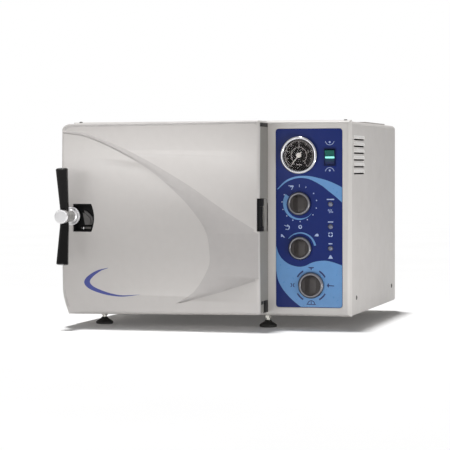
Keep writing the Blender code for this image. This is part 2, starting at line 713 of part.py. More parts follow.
def make_door_core():
    pivot = (HINGE_X, HINGE_Y, HINGE_Z)
    front = BRIDGE_BACK - BRIDGE_THICK
    low, high = LATCH_Z - BRIDGE_HEIGHT / 2, LATCH_Z + BRIDGE_HEIGHT / 2
    bridge = solid("door_bridge", "steel", lambda bm: put_box(
        bm, (LATCH_X - 0.012, front, low), (HINGE_X - 0.001, BRIDGE_BACK, high)), pivot)

    def barrel(bm):
        put_cylinder(bm, (HINGE_X, HINGE_Y, LATCH_Z), "Z", BARREL_R, BRIDGE_HEIGHT - 0.0004, 20)

    boolean(bridge, cutting("bridge_barrel", barrel), "UNION")

    def bores(bm):
        put_cylinder(bm, (HINGE_X, HINGE_Y, LATCH_Z), "Z", HINGE_PIN_R + GAP, 0.08, 20)
        put_cylinder(bm, (LATCH_X, front, LATCH_Z), "Y", BOLT_R + 0.0005, 0.06, 20)
        put_cylinder(bm, (CHAMBER_X, front, CHAMBER_Z), "Y", 0.0075, 0.06, 20)

    boolean(bridge, cutting("bridge_bores", bores))
    boolean(bridge, cutting("lock_step", lambda bm: put_box(
        bm, (LATCH_X - 0.03, front - 0.01, low - 0.01), (LOCK_X + 0.0050, BRIDGE_BACK + 0.01, LOCK_Z + 0.0060))))
    seat = FLANGE_FRONT + 0.0045
    disc = [(0.0, seat + 0.008), (0.030, seat + 0.008), (0.105, seat + 0.005), (DISC_R - 0.002, seat + 0.005),
            (DISC_R, seat + 0.003), (DISC_R, seat), (0.0, seat)]
    turned("door_disc", "stainless", disc, (CHAMBER_X, FRONT, CHAMBER_Z), sides=48)
    turned("door_gasket", "silicone",
           ring_profile(0.1175, 0.1265, FLANGE_FRONT + GAP, seat - GAP),
           (CHAMBER_X, FRONT, CHAMBER_Z), sides=48, ring=True)
    bolt_low, bolt_high = seat + 0.008 + GAP, 0.0575
    head = 0.0495
    turned("door_centre_bolt", "chrome",
           [(0.0, bolt_high), (0.0115, bolt_high), (0.0115, head), (0.0070, head), (0.0070, bolt_low),
            (0.0, bolt_low)],
           (CHAMBER_X, FRONT, CHAMBER_Z), sides=20)

    def spring_point(step):
        angle = 2 * math.pi * step / 10
        rise = 0.0235 + 0.0125 * step / 30
        return (CHAMBER_X + 0.0110 * math.cos(angle), FRONT - rise, CHAMBER_Z + 0.0110 * math.sin(angle))

    tube("door_spring", "steel", [spring_point(step) for step in range(31)], 0.0014, 1)


def make_hinge():
    low, high = SLOT_LOW + SLOT_GAP, SLOT_HIGH - SLOT_GAP
    left, right = 0.0875, COVER_RIGHT
    face = FRONT - FLANGE_FRONT - GAP
    front = HINGE_Y + 0.0145
    bracket = solid("hinge_bracket", "cabinet_paint", lambda bm: put_box(
        bm, (left, front, low), (right, face, high)))

    def ears(bm):
        for bottom, top in ((low, LATCH_Z - BRIDGE_HEIGHT / 2 - GAP), (LATCH_Z + BRIDGE_HEIGHT / 2 + GAP, high)):
            put_box(bm, (HINGE_X - 0.0065, HINGE_Y, bottom), (HINGE_X + 0.0065, front + 0.001, top))

    def ear_ends(bm):
        for bottom, top in ((low, LATCH_Z - BRIDGE_HEIGHT / 2 - GAP), (LATCH_Z + BRIDGE_HEIGHT / 2 + GAP, high)):
            put_cylinder(bm, (HINGE_X, HINGE_Y, (bottom + top) / 2), "Z", 0.0067, top - bottom - 0.0002, 20)

    boolean(bracket, cutting("bracket_ears", ears), "UNION")
    boolean(bracket, cutting("bracket_ear_ends", ear_ends), "UNION")
    boolean(bracket, cutting("bracket_bore", lambda bm: put_cylinder(
        bm, (HINGE_X, HINGE_Y, HINGE_Z), "Z", HINGE_PIN_R + GAP, 0.1, 20)))
    solid("hinge_pin", "chrome", lambda bm: put_cylinder(
        bm, (HINGE_X, HINGE_Y, (low + high) / 2), "Z", HINGE_PIN_R, high - low, 20))


# ---- Closing handle ----
def make_closing_handle():
    pivot = (LATCH_X, FRONT, LATCH_Z)
    face = COVER_DEPTH
    bolt = [(0.0, face + 0.040), (BOLT_R, face + 0.040), (BOLT_R, 0.0125), (BOLT_R - 0.0015, 0.0105), (0.0, 0.0105)]
    turned("closing_bolt", "steel", bolt, pivot, sides=20)
    turned("latch_socket", "steel", ring_profile(BOLT_R + 0.0018, 0.0110, FLANGE_FRONT + GAP, 0.0160),
           pivot, sides=24, ring=True)
    seat = face + GAP
    turned("closing_collar", "chrome",
           [(BOLT_R + GAP, seat + 0.0050), (0.0145, seat + 0.0050), (COLLAR_R, seat + 0.0036),
            (COLLAR_R, seat + 0.0012), (COLLAR_R - 0.0008, seat), (BOLT_R + GAP, seat)], pivot, sides=32, ring=True)
    base = seat + 0.0050 + GAP
    hub = [(0.0, face + 0.0560), (0.0090, face + 0.0555), (0.0120, face + 0.0535), (0.0125, face + 0.0510),
           (0.0125, face + 0.0455), (0.0105, face + 0.0445), (0.0105, face + 0.0120), (0.0125, face + 0.0100),
           (0.0125, base), (BOLT_R + GAP, base), (BOLT_R + GAP, face + 0.0403), (0.0, face + 0.0403)]
    turned("handle_hub", "chrome", hub, pivot, sides=32)
    for name, side in (("upper_grip", 1), ("lower_grip", -1)):
        make_grip(name, side, face + 0.03486)


def make_grip(name, side, reach):
    """A tapered eight-sided grip, wider at its free end, that leans forward."""
    bm = bmesh.new()
    place = Matrix.Rotation(math.radians(22.5), 4, "Z")
    bmesh.ops.create_cone(bm, cap_ends=True, segments=8, radius1=0.0078, radius2=0.0110,
                          depth=GRIP_LENGTH, matrix=Matrix.Translation((0, 0, GRIP_LENGTH / 2)) @ place)
    for vert in bm.verts:
        vert.co.y *= 0.80
    round_edges(bm, lambda spot: spot.z > GRIP_LENGTH - 0.001, 0.0015, 1)
    bmesh.ops.translate(bm, verts=bm.verts, vec=(0, 0, 0.0105))
    lean = Matrix.Rotation(GRIP_TILT, 4, "X")
    bmesh.ops.transform(bm, matrix=lean, verts=bm.verts)
    if side < 0:
        bmesh.ops.transform(bm, matrix=Matrix.Scale(-1, 4, (0, 0, 1)), verts=bm.verts)
    bmesh.ops.translate(bm, verts=bm.verts, vec=(LATCH_X, FRONT - reach, LATCH_Z))
    grip = object_from(bm, name, "black_grip", (LATCH_X, FRONT, LATCH_Z))
    boolean(grip, cutting(f"{name}_seat", lambda seat: put_cylinder(
        seat, (LATCH_X, FRONT - reach, LATCH_Z), "Y", 0.0105 + GAP, 0.05, 24)))


# ---- Door interlock, on the flange's left lug ----
def make_interlock():
    base = FLANGE_FRONT + GAP
    turned("lock_bellows", "brass", ring_profile(0.0033, 0.0062, base, 0.0240),
           (LOCK_X, FRONT, LOCK_Z), sides=20, ring=True)
    turned("lock_pin", "steel", [(0.0, 0.0375), (0.0022, 0.0375), (0.0030, 0.0365), (0.0030, 0.0120), (0.0, 0.0120)],
           (LOCK_X, FRONT, LOCK_Z), sides=16)


# ---- Control panel ----
def make_overlay():
    overlay = solid("control_overlay", "panel_blue", lambda bm: put_prism(
        bm, rounded_rectangle(PANEL_LEFT, PANEL_RIGHT, PANEL_LOW, PANEL_HIGH, PANEL_CORNER), "Y",
        PANEL_FACE, FRONT + PANEL_RECESS - GAP))
    boolean(overlay, cutting("overlay_holes", control_holes))


def make_gauge():
    spot = (GAUGE[0], FRONT, GAUGE[1])
    turned("gauge_bezel", "chrome",
           [(0.0272, 0.0080), (GAUGE_R - 0.0015, 0.0080), (GAUGE_R, 0.0060), (GAUGE_R, -0.0002), (0.0272, -0.0002)],
           spot, sides=40, ring=True)
    turned("gauge_case", "dial_black", [(0.0, 0.0026), (0.0268, 0.0026), (0.0268, -0.0300), (0.0, -0.0300)],
           spot, sides=32)
    turned("gauge_lens", "clear_glass", [(0.0, 0.0069), (0.0269, 0.0069), (0.0269, 0.0057), (0.0, 0.0057)],
           spot, sides=32)

    def pointer(bm):
        """The pointer lies along the scale's zero, at the lower left."""
        lean = math.radians(-142)
        outline = [(-0.0009, -0.0070), (0.0009, -0.0070), (0.0004, 0.0200), (-0.0004, 0.0200)]
        turn = [(x * math.cos(lean) + z * math.sin(lean) + GAUGE[0],
                 -x * math.sin(lean) + z * math.cos(lean) + GAUGE[1]) for x, z in outline]
        put_prism(bm, turn, "Y", FRONT - 0.0042, FRONT - 0.0034)

    needle = solid("gauge_needle", "needle_white", pointer, spot)
    boolean(needle, cutting("needle_hub", lambda bm: put_cylinder(
        bm, (GAUGE[0], FRONT - 0.00415, GAUGE[1]), "Y", 0.0044, 0.0023, 20)), "UNION")


def make_switch():
    x, z = SWITCH
    half_w, half_h = SWITCH_SIZE[0] / 2, SWITCH_SIZE[1] / 2
    housing = solid("switch_housing", "black_plastic", lambda bm: put_box(
        bm, (x - half_w, FRONT - 0.0022, z - half_h), (x + half_w, FRONT + 0.0002, z + half_h)))
    boolean(housing, cutting("switch_housing_body", lambda bm: put_box(
        bm, (x - half_w + 0.0006, FRONT - 0.0010, z - half_h + 0.0006),
        (x + half_w - 0.0006, FRONT + 0.0220, z + half_h - 0.0006))), "UNION")
    boolean(housing, cutting("switch_housing_well", lambda bm: put_box(
        bm, (x - WELL_HALF_W, FRONT - 0.02, z - WELL_HALF_H), (x + WELL_HALF_W, FRONT + 0.0205, z + WELL_HALF_H))))
    pivot_y = FRONT + 0.0020
    radius = WELL_HALF_H - 0.0004
    press = math.radians(8)
    rim = arc((0.0, 0.0), (radius, radius), 111, 63, 3)
    profile = rim + [(y, -zz) for y, zz in reversed(rim)] + [(-0.0025, 0.0)]

    def rocker(bm):
        turned_points = [(pivot_y + y * math.cos(press) - zz * math.sin(press),
                          z + y * math.sin(press) + zz * math.cos(press)) for y, zz in profile]
        put_prism(bm, turned_points, "X", x - WELL_HALF_W + GAP, x + WELL_HALF_W - GAP)

    solid("power_rocker", "green_lens", rocker, (x, pivot_y, z))


def knob_profile(radius):
    """A shallow dish with a rounded rim, on a thin shaft."""
    return [(0.0, KNOB_FACE), (radius * 0.68, KNOB_FACE), (radius * 0.73, KNOB_RIM), (radius * 0.83, KNOB_RIM),
            (radius * 0.95, 0.0050), (radius, 0.0028), (radius, 0.0008), (KNOB_SHAFT_R, 0.0008),
            (KNOB_SHAFT_R, -0.0028), (0.0, -0.0028)]


def make_knob(name, spot, radius):
    """The knob's grip is a ridge with two sloping sides, right across its face."""
    knob = turned(name, "knob_plastic", knob_profile(radius), (spot[0], FRONT, spot[1]), sides=32)
    base, crest = FRONT - KNOB_FACE + 0.001, FRONT - KNOB_RIDGE
    outline = [(-0.0092, base), (-0.0008, crest), (0.0008, crest), (0.0092, base)]
    roof = [(spot[0] + across, depth) for across, depth in outline]
    ridge = cutting(f"{name}_ridge", lambda bm: put_prism(
        bm, roof, "Z", spot[1] - radius * 0.60, spot[1] + radius * 0.60))
    boolean(knob, ridge, "UNION")


def make_controls():
    make_knob("timer_knob", TIMER, KNOB_R)
    make_knob("thermostat_knob", THERMOSTAT, KNOB_R)
    make_knob("valve_knob", VALVE, VALVE_KNOB_R)
    near = FRONT + FRAME_WALL + GAP
    for name, spot in (("timer_body", TIMER), ("thermostat_body", THERMOSTAT)):
        solid(name, "black_plastic", lambda bm, spot=spot: put_box(
            bm, (spot[0] - 0.020, near, spot[1] - 0.022), (spot[0] + 0.020, near + 0.038, spot[1] + 0.022)))
    valve = solid("multiport_valve", "brass", lambda bm: put_box(
        bm, (VALVE[0] - 0.016, near, VALVE[1] - 0.016), (VALVE[0] + 0.016, near + 0.036, VALVE[1] + 0.016)))
    boolean(valve, cutting("valve_port", lambda bm: put_cylinder(
        bm, (VALVE[0], near + 0.040, VALVE[1]), "Y", 0.007, 0.015, 16)), "UNION")

    for name, height in zip(("lamp_upper", "lamp_middle", "lamp_lower"), LAMP_HEIGHTS):
        turned(name, "lamp_lens", [(0.0, 0.0022), (LAMP_R * 0.6, 0.0018), (LAMP_R, 0.0002), (LAMP_R, -0.0100),
                                   (0.0, -0.0100)], (LAMP_X, FRONT, height), sides=16)


# ---- Rear fittings and wiring ----
def make_rear_fittings():
    x, z = INLET
    inlet = solid("power_inlet", "black_plastic", lambda bm: put_box(
        bm, (x - 0.0170, REAR + GAP, z - 0.0130), (x + 0.0170, REAR + 0.0030, z + 0.0130)))
    boolean(inlet, cutting("power_inlet_body", lambda bm: put_box(
        bm, (x - 0.0140, REAR - 0.0240, z - 0.0100), (x + 0.0140, REAR + 0.0010, z + 0.0100))), "UNION")
    boolean(inlet, cutting("power_inlet_socket", lambda bm: put_box(
        bm, (x - 0.0120, REAR - 0.0150, z - 0.0080), (x + 0.0120, REAR + 0.0100, z + 0.0080))))

    def blades(bm):
        for shift, rise in ((-0.007, -0.002), (0.007, -0.002), (0.0, 0.002)):
            put_box(bm, (x + shift - 0.0010, REAR - 0.0160, z + rise - 0.002),
                    (x + shift + 0.0010, REAR - 0.0020, z + rise + 0.002))

    boolean(inlet, cutting("power_inlet_blades", blades), "UNION")
    turned("reset_button", "reset_red",
           [(0.0, 0.0100), (0.0044, 0.0100), (0.0044, -0.0046), (0.0032, -0.0058), (0.0, -0.0058)],
           (RESET[0], REAR, RESET[1]), sides=20)


def main():
    clear_scene()
    make_base_pan()
    make_front_frame()
    make_hood()
    make_rear_panel()
    make_feet()
    make_vessel()
    make_flange()
    make_heating()
    make_cradle()
    make_rack_and_trays()
    make_reservoir()
    make_reservoir_lid()
    make_relief_valve()
    make_drain_valve()
    make_door_cover()
    make_latch_recess()
    make_door_core()
    make_hinge()
    make_closing_handle()
    make_interlock()
    make_overlay()
    make_gauge()
    make_switch()
    make_controls()
    make_rear_fittings()


main()
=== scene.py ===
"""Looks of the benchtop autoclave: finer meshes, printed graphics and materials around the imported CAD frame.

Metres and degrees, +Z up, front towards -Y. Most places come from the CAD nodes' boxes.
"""

import json
import math

import bmesh
import bpy
from mathutils import Matrix, Vector

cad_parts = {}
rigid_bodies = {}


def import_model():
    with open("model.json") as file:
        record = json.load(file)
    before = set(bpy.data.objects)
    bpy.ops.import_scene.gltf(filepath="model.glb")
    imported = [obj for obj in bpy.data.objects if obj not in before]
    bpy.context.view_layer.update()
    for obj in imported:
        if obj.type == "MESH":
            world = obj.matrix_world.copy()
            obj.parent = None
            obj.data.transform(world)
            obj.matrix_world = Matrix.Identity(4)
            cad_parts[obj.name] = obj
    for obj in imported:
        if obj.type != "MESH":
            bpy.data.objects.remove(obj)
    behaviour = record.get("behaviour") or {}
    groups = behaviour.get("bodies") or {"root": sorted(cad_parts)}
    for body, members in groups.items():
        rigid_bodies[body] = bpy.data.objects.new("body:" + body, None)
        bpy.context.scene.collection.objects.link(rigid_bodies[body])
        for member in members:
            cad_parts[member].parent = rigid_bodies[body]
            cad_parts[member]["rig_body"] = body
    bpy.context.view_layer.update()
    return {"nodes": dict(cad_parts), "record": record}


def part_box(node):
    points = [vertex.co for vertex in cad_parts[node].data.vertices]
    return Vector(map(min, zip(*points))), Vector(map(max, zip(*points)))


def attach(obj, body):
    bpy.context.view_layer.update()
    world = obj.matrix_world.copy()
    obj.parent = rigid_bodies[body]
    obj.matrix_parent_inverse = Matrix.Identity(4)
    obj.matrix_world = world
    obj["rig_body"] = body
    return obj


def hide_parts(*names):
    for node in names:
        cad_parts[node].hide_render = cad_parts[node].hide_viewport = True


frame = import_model()

OUT, BACK, UP, RIGHT = Vector((0, -1, 0)), Vector((0, 1, 0)), Vector((0, 0, 1)), Vector((1, 0, 0))

# ---- Places read from the frame ----
FRAME_LOW, FRAME_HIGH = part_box("front_frame")
COVER_LOW, COVER_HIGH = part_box("door_cover")
HOOD_LOW, HOOD_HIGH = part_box("hood")
PANEL_LOW, PANEL_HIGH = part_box("control_overlay")
PANEL_FACE = PANEL_LOW.y
FRONT = FRAME_LOW.y
COVER_FACE = COVER_LOW.y

SLOTS = {part["node"]: part["material_slot"] for part in frame["record"]["subparts"]}

# ---- Door cover ----
COVER_TOP = 0.3635
COVER_BOTTOM = 0.0264
COVER_WALL = 0.003
COVER_ROUND = 0.006
COVER_DROOP = 0.0038
COVER_BULGE = 0.0045
WEDGE_DEPTH = 0.0016
WEDGE_DRAFT = 0.0060
SLICE = 0.012
SLOT_GAP = 0.0006
FIT = 0.0003
NOTCH_BOW = 0.0055
GRIP_LEAN = 10

# Creases and the printed crescent, as (x, z) on the cover's face.
UPPER_CREASE = [(-0.2620, 0.3492), (-0.2330, 0.3472), (-0.2100, 0.3447), (-0.1798, 0.3350), (-0.1453, 0.3209),
                (-0.1164, 0.3071), (-0.0693, 0.2831), (-0.0123, 0.2495), (0.0495, 0.2074), (0.1180, 0.1660)]
ROUND_CREASE = [(-0.2620, 0.3438), (-0.2330, 0.3400), (-0.2090, 0.3352), (-0.1650, 0.3172), (-0.1120, 0.2892),
                (-0.0820, 0.2690), (-0.0507, 0.2428), (-0.0198, 0.2125), (0.0090, 0.1718), (0.0161, 0.1302),
                (0.0124, 0.1058), (-0.0131, 0.0654), (-0.0450, 0.0440)]
LOWER_CREASE = [(-0.0450, 0.0440), (-0.0277, 0.0460), (0.0105, 0.0553), (0.0484, 0.0663), (0.0753, 0.0754),
                (0.1180, 0.0890)]
CRESCENT_OUTER = [(-0.1680, 0.1058), (-0.1880, 0.1010), (-0.2060, 0.0905), (-0.2129, 0.0800), (-0.2070, 0.0705),
                  (-0.1918, 0.0632), (-0.1680, 0.0572), (-0.1416, 0.0551), (-0.1095, 0.0590)]
CRESCENT_INNER = [(-0.1680, 0.1052), (-0.1822, 0.0998), (-0.1965, 0.0895), (-0.2022, 0.0808), (-0.1968, 0.0732),
                  (-0.1838, 0.0670), (-0.1640, 0.0607), (-0.1416, 0.0574), (-0.1095, 0.0592)]

# ---- Control panel: each printed layer lies one LAYER in front of the one below ----
LAYER = 0.00012
KNOB_ROOF = 0.0095
DIAL_START = 232
DIAL_SWEEP = 284
DIAL_MARKS = 40
NUMERAL_SIZE = 0.0062

# ---- Cabinet ----
SHEET_INSET = 0.0015
SCREW_RISE = 0.0013
SIDE_SCREW_Z = 0.0515

# ---- Floor, light and camera ----
FLOOR_REACH = 6.0
FLOOR_GLOW = 0.045
AMBIENT = 0.11
MIRRORED = 0.7
SUN_POWER = 2.95
SUN_SPREAD = 6.0
SUN_AIM = (0.10, -0.14, -1.0)
SOFTBOXES = (
    ("front_wide", (-0.2, -3.0, 0.25), (0.0, FRONT, 0.2), (1.6, 0.4), 0.9),
    ("front_high", (-0.13, COVER_FACE - 0.16, 0.30), (-0.13, COVER_FACE, 0.375), (0.50, 0.05), 0.30),
    ("front_low", (-0.03, COVER_FACE - 0.10, 0.005), (-0.03, COVER_FACE, 0.025), (0.5, 0.01), 0.09),
    ("right_near", (0.80, -0.50, 0.02), (0.255, -0.10, 0.10), (0.3, 0.02), 1.2),
)
CAMERA_SPOT = (0.9091, FRONT - 3.1825, 0.2832)
CAMERA_TURN = (90 - 1.782, 0.154, 15.45)
LENS = 149.63


# ---- Materials ----
def adjust(node, **sockets):
    """Sets a shader node's inputs. An underscore stands for the space in an input's name."""
    for key, value in sockets.items():
        node.inputs[key.replace("_", " ")].default_value = value


class Look:
    """A procedural material under construction. Pattern sizes are in metres on the object."""

    def __init__(self, name, colour, roughness, metallic=0.0, **sockets):
        self.material = bpy.data.materials.new(name)
        self.material.use_nodes = True
        self.nodes = self.material.node_tree.nodes
        self.links = self.material.node_tree.links
        self.shader = self.nodes["Principled BSDF"]
        self.colour, self.roughness = colour, roughness
        adjust(self.shader, Metallic=metallic, **sockets)
        self.place = self.nodes.new("ShaderNodeTexCoord").outputs["Object"]
        self.bump = None

    def noise(self, size, detail=3.0, stretch=(1, 1, 1)):
        """Noise whose lumps are about `size` across, drawn out along any axis whose stretch is above 1."""
        mapping = self.nodes.new("ShaderNodeMapping")
        adjust(mapping, Scale=[1 / (size * s) for s in stretch])
        texture = self.nodes.new("ShaderNodeTexNoise")
        adjust(texture, Scale=1.0, Detail=detail)
        self.links.new(self.place, mapping.inputs["Vector"])
        self.links.new(mapping.outputs["Vector"], texture.inputs["Vector"])
        return texture.outputs["Fac"]

    def spread(self, source, low, high, start=0.3, stop=0.7):
        node = self.nodes.new("ShaderNodeMapRange")
        adjust(node, From_Min=start, From_Max=stop, To_Min=low, To_Max=high)
        self.links.new(source, node.inputs["Value"])
        return node.outputs["Result"]

    def blend(self, first, second, share):
        """The base colour runs from the first colour to the second."""
        mix = self.nodes.new("ShaderNodeMix")
        mix.data_type = "RGBA"
        adjust(mix, A=(*first, 1), B=(*second, 1))
        self.links.new(share, mix.inputs["Factor"])
        self.links.new(mix.outputs["Result"], self.shader.inputs["Base Color"])

    def mottle(self, size, amount, detail=3.0, stretch=(1, 1, 1)):
        """The colour drifts between a darker and a lighter shade."""
        dark = [c * (1 - amount) for c in self.colour]
        light = [min(1.0, c * (1 + amount)) for c in self.colour]
        self.blend(dark, light, self.spread(self.noise(size, detail, stretch), 0, 1))
        return self

    def uneven(self, size, amount, stretch=(1, 1, 1)):
        """The roughness varies by `amount` either way."""
        source = self.noise(size, 4.0, stretch)
        low, high = max(0.02, self.roughness - amount), min(1.0, self.roughness + amount)
        self.links.new(self.spread(source, low, high), self.shader.inputs["Roughness"])
        return self

    def texture(self, size, height, stretch=(1, 1, 1)):
        """Adds a bump of that lump size and height on top of any earlier one."""
        node = self.nodes.new("ShaderNodeBump")
        adjust(node, Distance=height)
        self.links.new(self.noise(size, 2.0, stretch), node.inputs["Height"])
        if self.bump:
            self.links.new(self.bump, node.inputs["Normal"])
        self.bump = node.outputs["Normal"]
        self.links.new(self.bump, self.shader.inputs["Normal"])
        return self


def linear(colour):
    """An sRGB colour out of 255 as linear values."""
    values = [c / 255 for c in colour]
    return [c / 12.92 if c < 0.04045 else ((c + 0.055) / 1.055) ** 2.4 for c in values]


def powder_coat(name, colour):
    look = Look(name, linear(colour), 0.42, Coat_Weight=0.15, Coat_Roughness=0.25)
    look.mottle(0.09, 0.025, detail=5.0).uneven(0.02, 0.05)
    return look.texture(0.0011, 0.00004).texture(0.00035, 0.00001).material


def moulded(name, colour, roughness=0.4, grain=0.0007, height=0.00002, tint=0.05, **sockets):
    look = Look(name, linear(colour), roughness, **sockets)
    return look.mottle(0.015, tint).uneven(0.006, 0.06).texture(grain, height).material


def faded(name, upper, lower, from_height, to_height):
    """A glossy plastic whose colour fades upwards between two heights."""
    look = Look(name, linear(upper), 0.24, Coat_Weight=0.1, Coat_Roughness=0.1, Specular_IOR_Level=0.25)
    axes = look.nodes.new("ShaderNodeSeparateXYZ")
    look.links.new(look.nodes.new("ShaderNodeNewGeometry").outputs["Position"], axes.inputs["Vector"])
    look.blend(linear(lower), look.colour, look.spread(axes.outputs["Z"], 0, 1, from_height, to_height))
    return look.uneven(0.004, 0.05).texture(0.003, 0.00001).material


def brushed(name, colour, roughness):
    """Metal with its grain drawn out along X."""
    stretch = (60, 1, 1)
    look = Look(name, linear(colour), roughness, 1.0)
    look.mottle(0.0012, 0.08, stretch=stretch).uneven(0.0008, 0.08, stretch)
    return look.texture(0.0005, 0.000012, stretch).material


def bright_metal(name, colour, roughness, height=0.000004):
    look = Look(name, linear(colour), roughness, 1.0)
    return look.mottle(0.02, 0.04).uneven(0.004, 0.03).texture(0.0009, height).material


# Colours are sRGB out of 255.
MATERIALS = {
    "cabinet_paint": powder_coat("Cabinet_paint", (203, 198, 194)),
    "cover_plastic": moulded("Cover_plastic", (202, 198, 195), 0.36, 0.0013, 0.00003, 0.012,
                             Coat_Weight=0.1, Coat_Roughness=0.3),
    "stainless": brushed("Stainless_steel", (205, 205, 203), 0.26),
    "chrome": bright_metal("Chrome_plate", (232, 232, 234), 0.12),
    "steel": bright_metal("Zinc_plated_steel", (178, 176, 170), 0.34, 0.00001),
    "brass": bright_metal("Turned_brass", (205, 166, 92), 0.28, 0.00001),
    "copper": bright_metal("Copper_pipe", (196, 118, 84), 0.3, 0.00001),
    "black_grip": moulded("Phenolic_black", (9, 8, 8), 0.22, 0.0012, 0.00001, 0.15,
                          Specular_IOR_Level=0.2),
    "black_plastic": moulded("Black_plastic", (24, 24, 25), 0.48, 0.0006, 0.00003, 0.2,
                             Specular_IOR_Level=0.12),
    "knob_plastic": moulded("Knob_plastic", (66, 62, 61), 0.38, 0.0005, 0.00002, 0.12,
                            Specular_IOR_Level=0.25),
    "panel_blue": moulded("Overlay_navy", (18, 40, 112), 0.4, 0.0004, 0.000008, 0.02,
                          Specular_IOR_Level=0.25),
    "dial_black": moulded("Dial_black", (22, 18, 18), 0.5, 0.0004, 0.00001, 0.3,
                          Specular_IOR_Level=0.1),
    "needle_white": moulded("Dial_white", (226, 222, 216), 0.45, 0.0005, 0.00001, 0.04),
    "silicone": moulded("Silicone_seal", (188, 92, 62), 0.5, 0.001, 0.00003, 0.06,
                        Subsurface_Weight=0.1),
    "rubber": moulded("Rubber_foot", (28, 27, 26), 0.62, 0.0008, 0.00005, 0.25),
    "insulation": moulded("Glass_fibre", (216, 206, 172), 0.9, 0.002, 0.0006, 0.18),
    "reset_red": moulded("Reset_red", (186, 34, 28), 0.35, 0.0006, 0.00001, 0.05),
}
FRAME_PAINT = powder_coat("Frame_paint", (224, 220, 216))
# A lighter copy of the cabinet paint for the louvre scoops: painted highlight.
LOUVRE_HIGHLIGHT_PAINT = powder_coat("Louvre_painted_highlight", (246, 243, 240))
RECESS_GREY = moulded("Recess_grey", (104, 102, 101), 0.4, 0.0006, 0.00003, 0.1, Specular_IOR_Level=0.2)
HOUSING_NAVY = moulded("Switch_navy", (15, 26, 74), 0.4, 0.0005, 0.00001, 0.06, Specular_IOR_Level=0.2)
# A darker copy of the cover plastic for the sunken field: painted shade.
WEDGE_SHADE_PLASTIC = moulded("Cover_plastic_sunk_painted_shade", (188, 184, 182), 0.5, 0.0013, 0.00008, 0.02)
# A darker copy of the cover plastic for its right side and the hinge plate: painted shade.
COVER_SIDE_SHADE = moulded("Cover_plastic_side_painted_shade", (160, 157, 151), 0.6, 0.0013, 0.00005, 0.02, Specular_IOR_Level=0.1)
GLASS = moulded("Gauge_glass", (255, 255, 255), 0.04, 0.01, 0.000001, 0.01,
                Transmission_Weight=1.0, IOR=1.12)
GREEN_LENS = faded("Rocker_green", (6, 96, 84), (20, 34, 84), 0.2900, 0.3060)
LAMP_LENS = moulded("Lamp_lens", (116, 122, 146), 0.18, 0.002, 0.00002, 0.15,
                    Coat_Weight=0.6, Coat_Roughness=0.1)
PRINT_BLUE = moulded("Print_light_blue", (98, 154, 212), 0.32, 0.0004, 0.000008, 0.03,
                     Coat_Weight=0.3, Coat_Roughness=0.2)
PRINT_PALE = moulded("Print_pale", (176, 194, 232), 0.4, 0.0004, 0.000008, 0.06)
PRINT_NAVY = moulded("Print_navy", (24, 44, 104), 0.35, 0.0004, 0.000008, 0.08)
# A glowing pale material for the bar on the rocker's ridge: painted highlight.
RIDGE_HIGHLIGHT_GLOW = moulded("Rocker_painted_highlight", (150, 255, 235), 0.3, 0.001, 0.00001, 0.03,
               Emission_Color=(0.3, 1.0, 0.85, 1), Emission_Strength=0.75)
KNOB_SKIRT = bright_metal("Knob_skirt", (128, 127, 131), 0.34, 0.00001)
DECAL_BLUE = moulded("Decal_blue", (66, 76, 152), 0.35, 0.0005, 0.00001, 0.08)
DIAL_PRINT = moulded("Dial_print", (176, 168, 166), 0.45, 0.0004, 0.00001, 0.08)
SATIN_CHROME = bright_metal("Satin_chrome", (226, 225, 226), 0.34, 0.00001)
TURNED_NECK = Look("Turned_neck", linear((176, 174, 172)), 0.46, 0.35)
TURNED_NECK = TURNED_NECK.mottle(0.004, 0.05).uneven(0.002, 0.05).texture(0.0009, 0.00001).material
BEZEL_CHROME = bright_metal("Bezel_chrome", (188, 188, 192), 0.16)
DARK_METAL = bright_metal("Blackened_steel", (92, 90, 88), 0.38, 0.00002)
MATERIALS.update(clear_glass=GLASS, green_lens=GREEN_LENS, lamp_lens=LAMP_LENS)


# ---- Mesh tools ----
def smooth(mesh, sharp=34):
    """Shades the faces as round, except across edges that turn by more than that many degrees."""
    mesh.shade_smooth()
    mesh.set_sharp_from_angle(angle=math.radians(sharp))


def placed(name, data):
    """A new object in the scene."""
    obj = bpy.data.objects.new(name, data)
    bpy.context.scene.collection.objects.link(obj)
    return obj


def closed_mesh(name, bm):
    """Ends a bmesh as a mesh whose faces point outwards."""
    bmesh.ops.recalc_face_normals(bm, faces=bm.faces)
    mesh = bpy.data.meshes.new(name)
    bm.to_mesh(mesh)
    bm.free()
    return mesh


def piece(name, bm, material, body, replaces=(), sharp=34):
    """Turns a bmesh into a piece that rides on a CAD body."""
    mesh = closed_mesh(name, bm)
    mesh.materials.append(material)
    smooth(mesh, sharp)
    obj = placed(name, mesh)
    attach(obj, body)
    if replaces:
        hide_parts(*replaces)
    return obj


def evaluated_mesh(obj):
    return bpy.data.meshes.new_from_object(obj.evaluated_get(bpy.context.evaluated_depsgraph_get()))


def apply_modifiers(obj):
    mesh = evaluated_mesh(obj)
    obj.modifiers.clear()
    obj.data = mesh


def cut_out(obj, bm):
    """Cuts a bmesh solid out of obj."""
    tool = placed("tool", closed_mesh("tool", bm))
    modifier = obj.modifiers.new("cut", "BOOLEAN")
    modifier.solver = "MANIFOLD"
    modifier.object = tool
    apply_modifiers(obj)
    smooth(obj.data)
    bpy.data.objects.remove(tool)


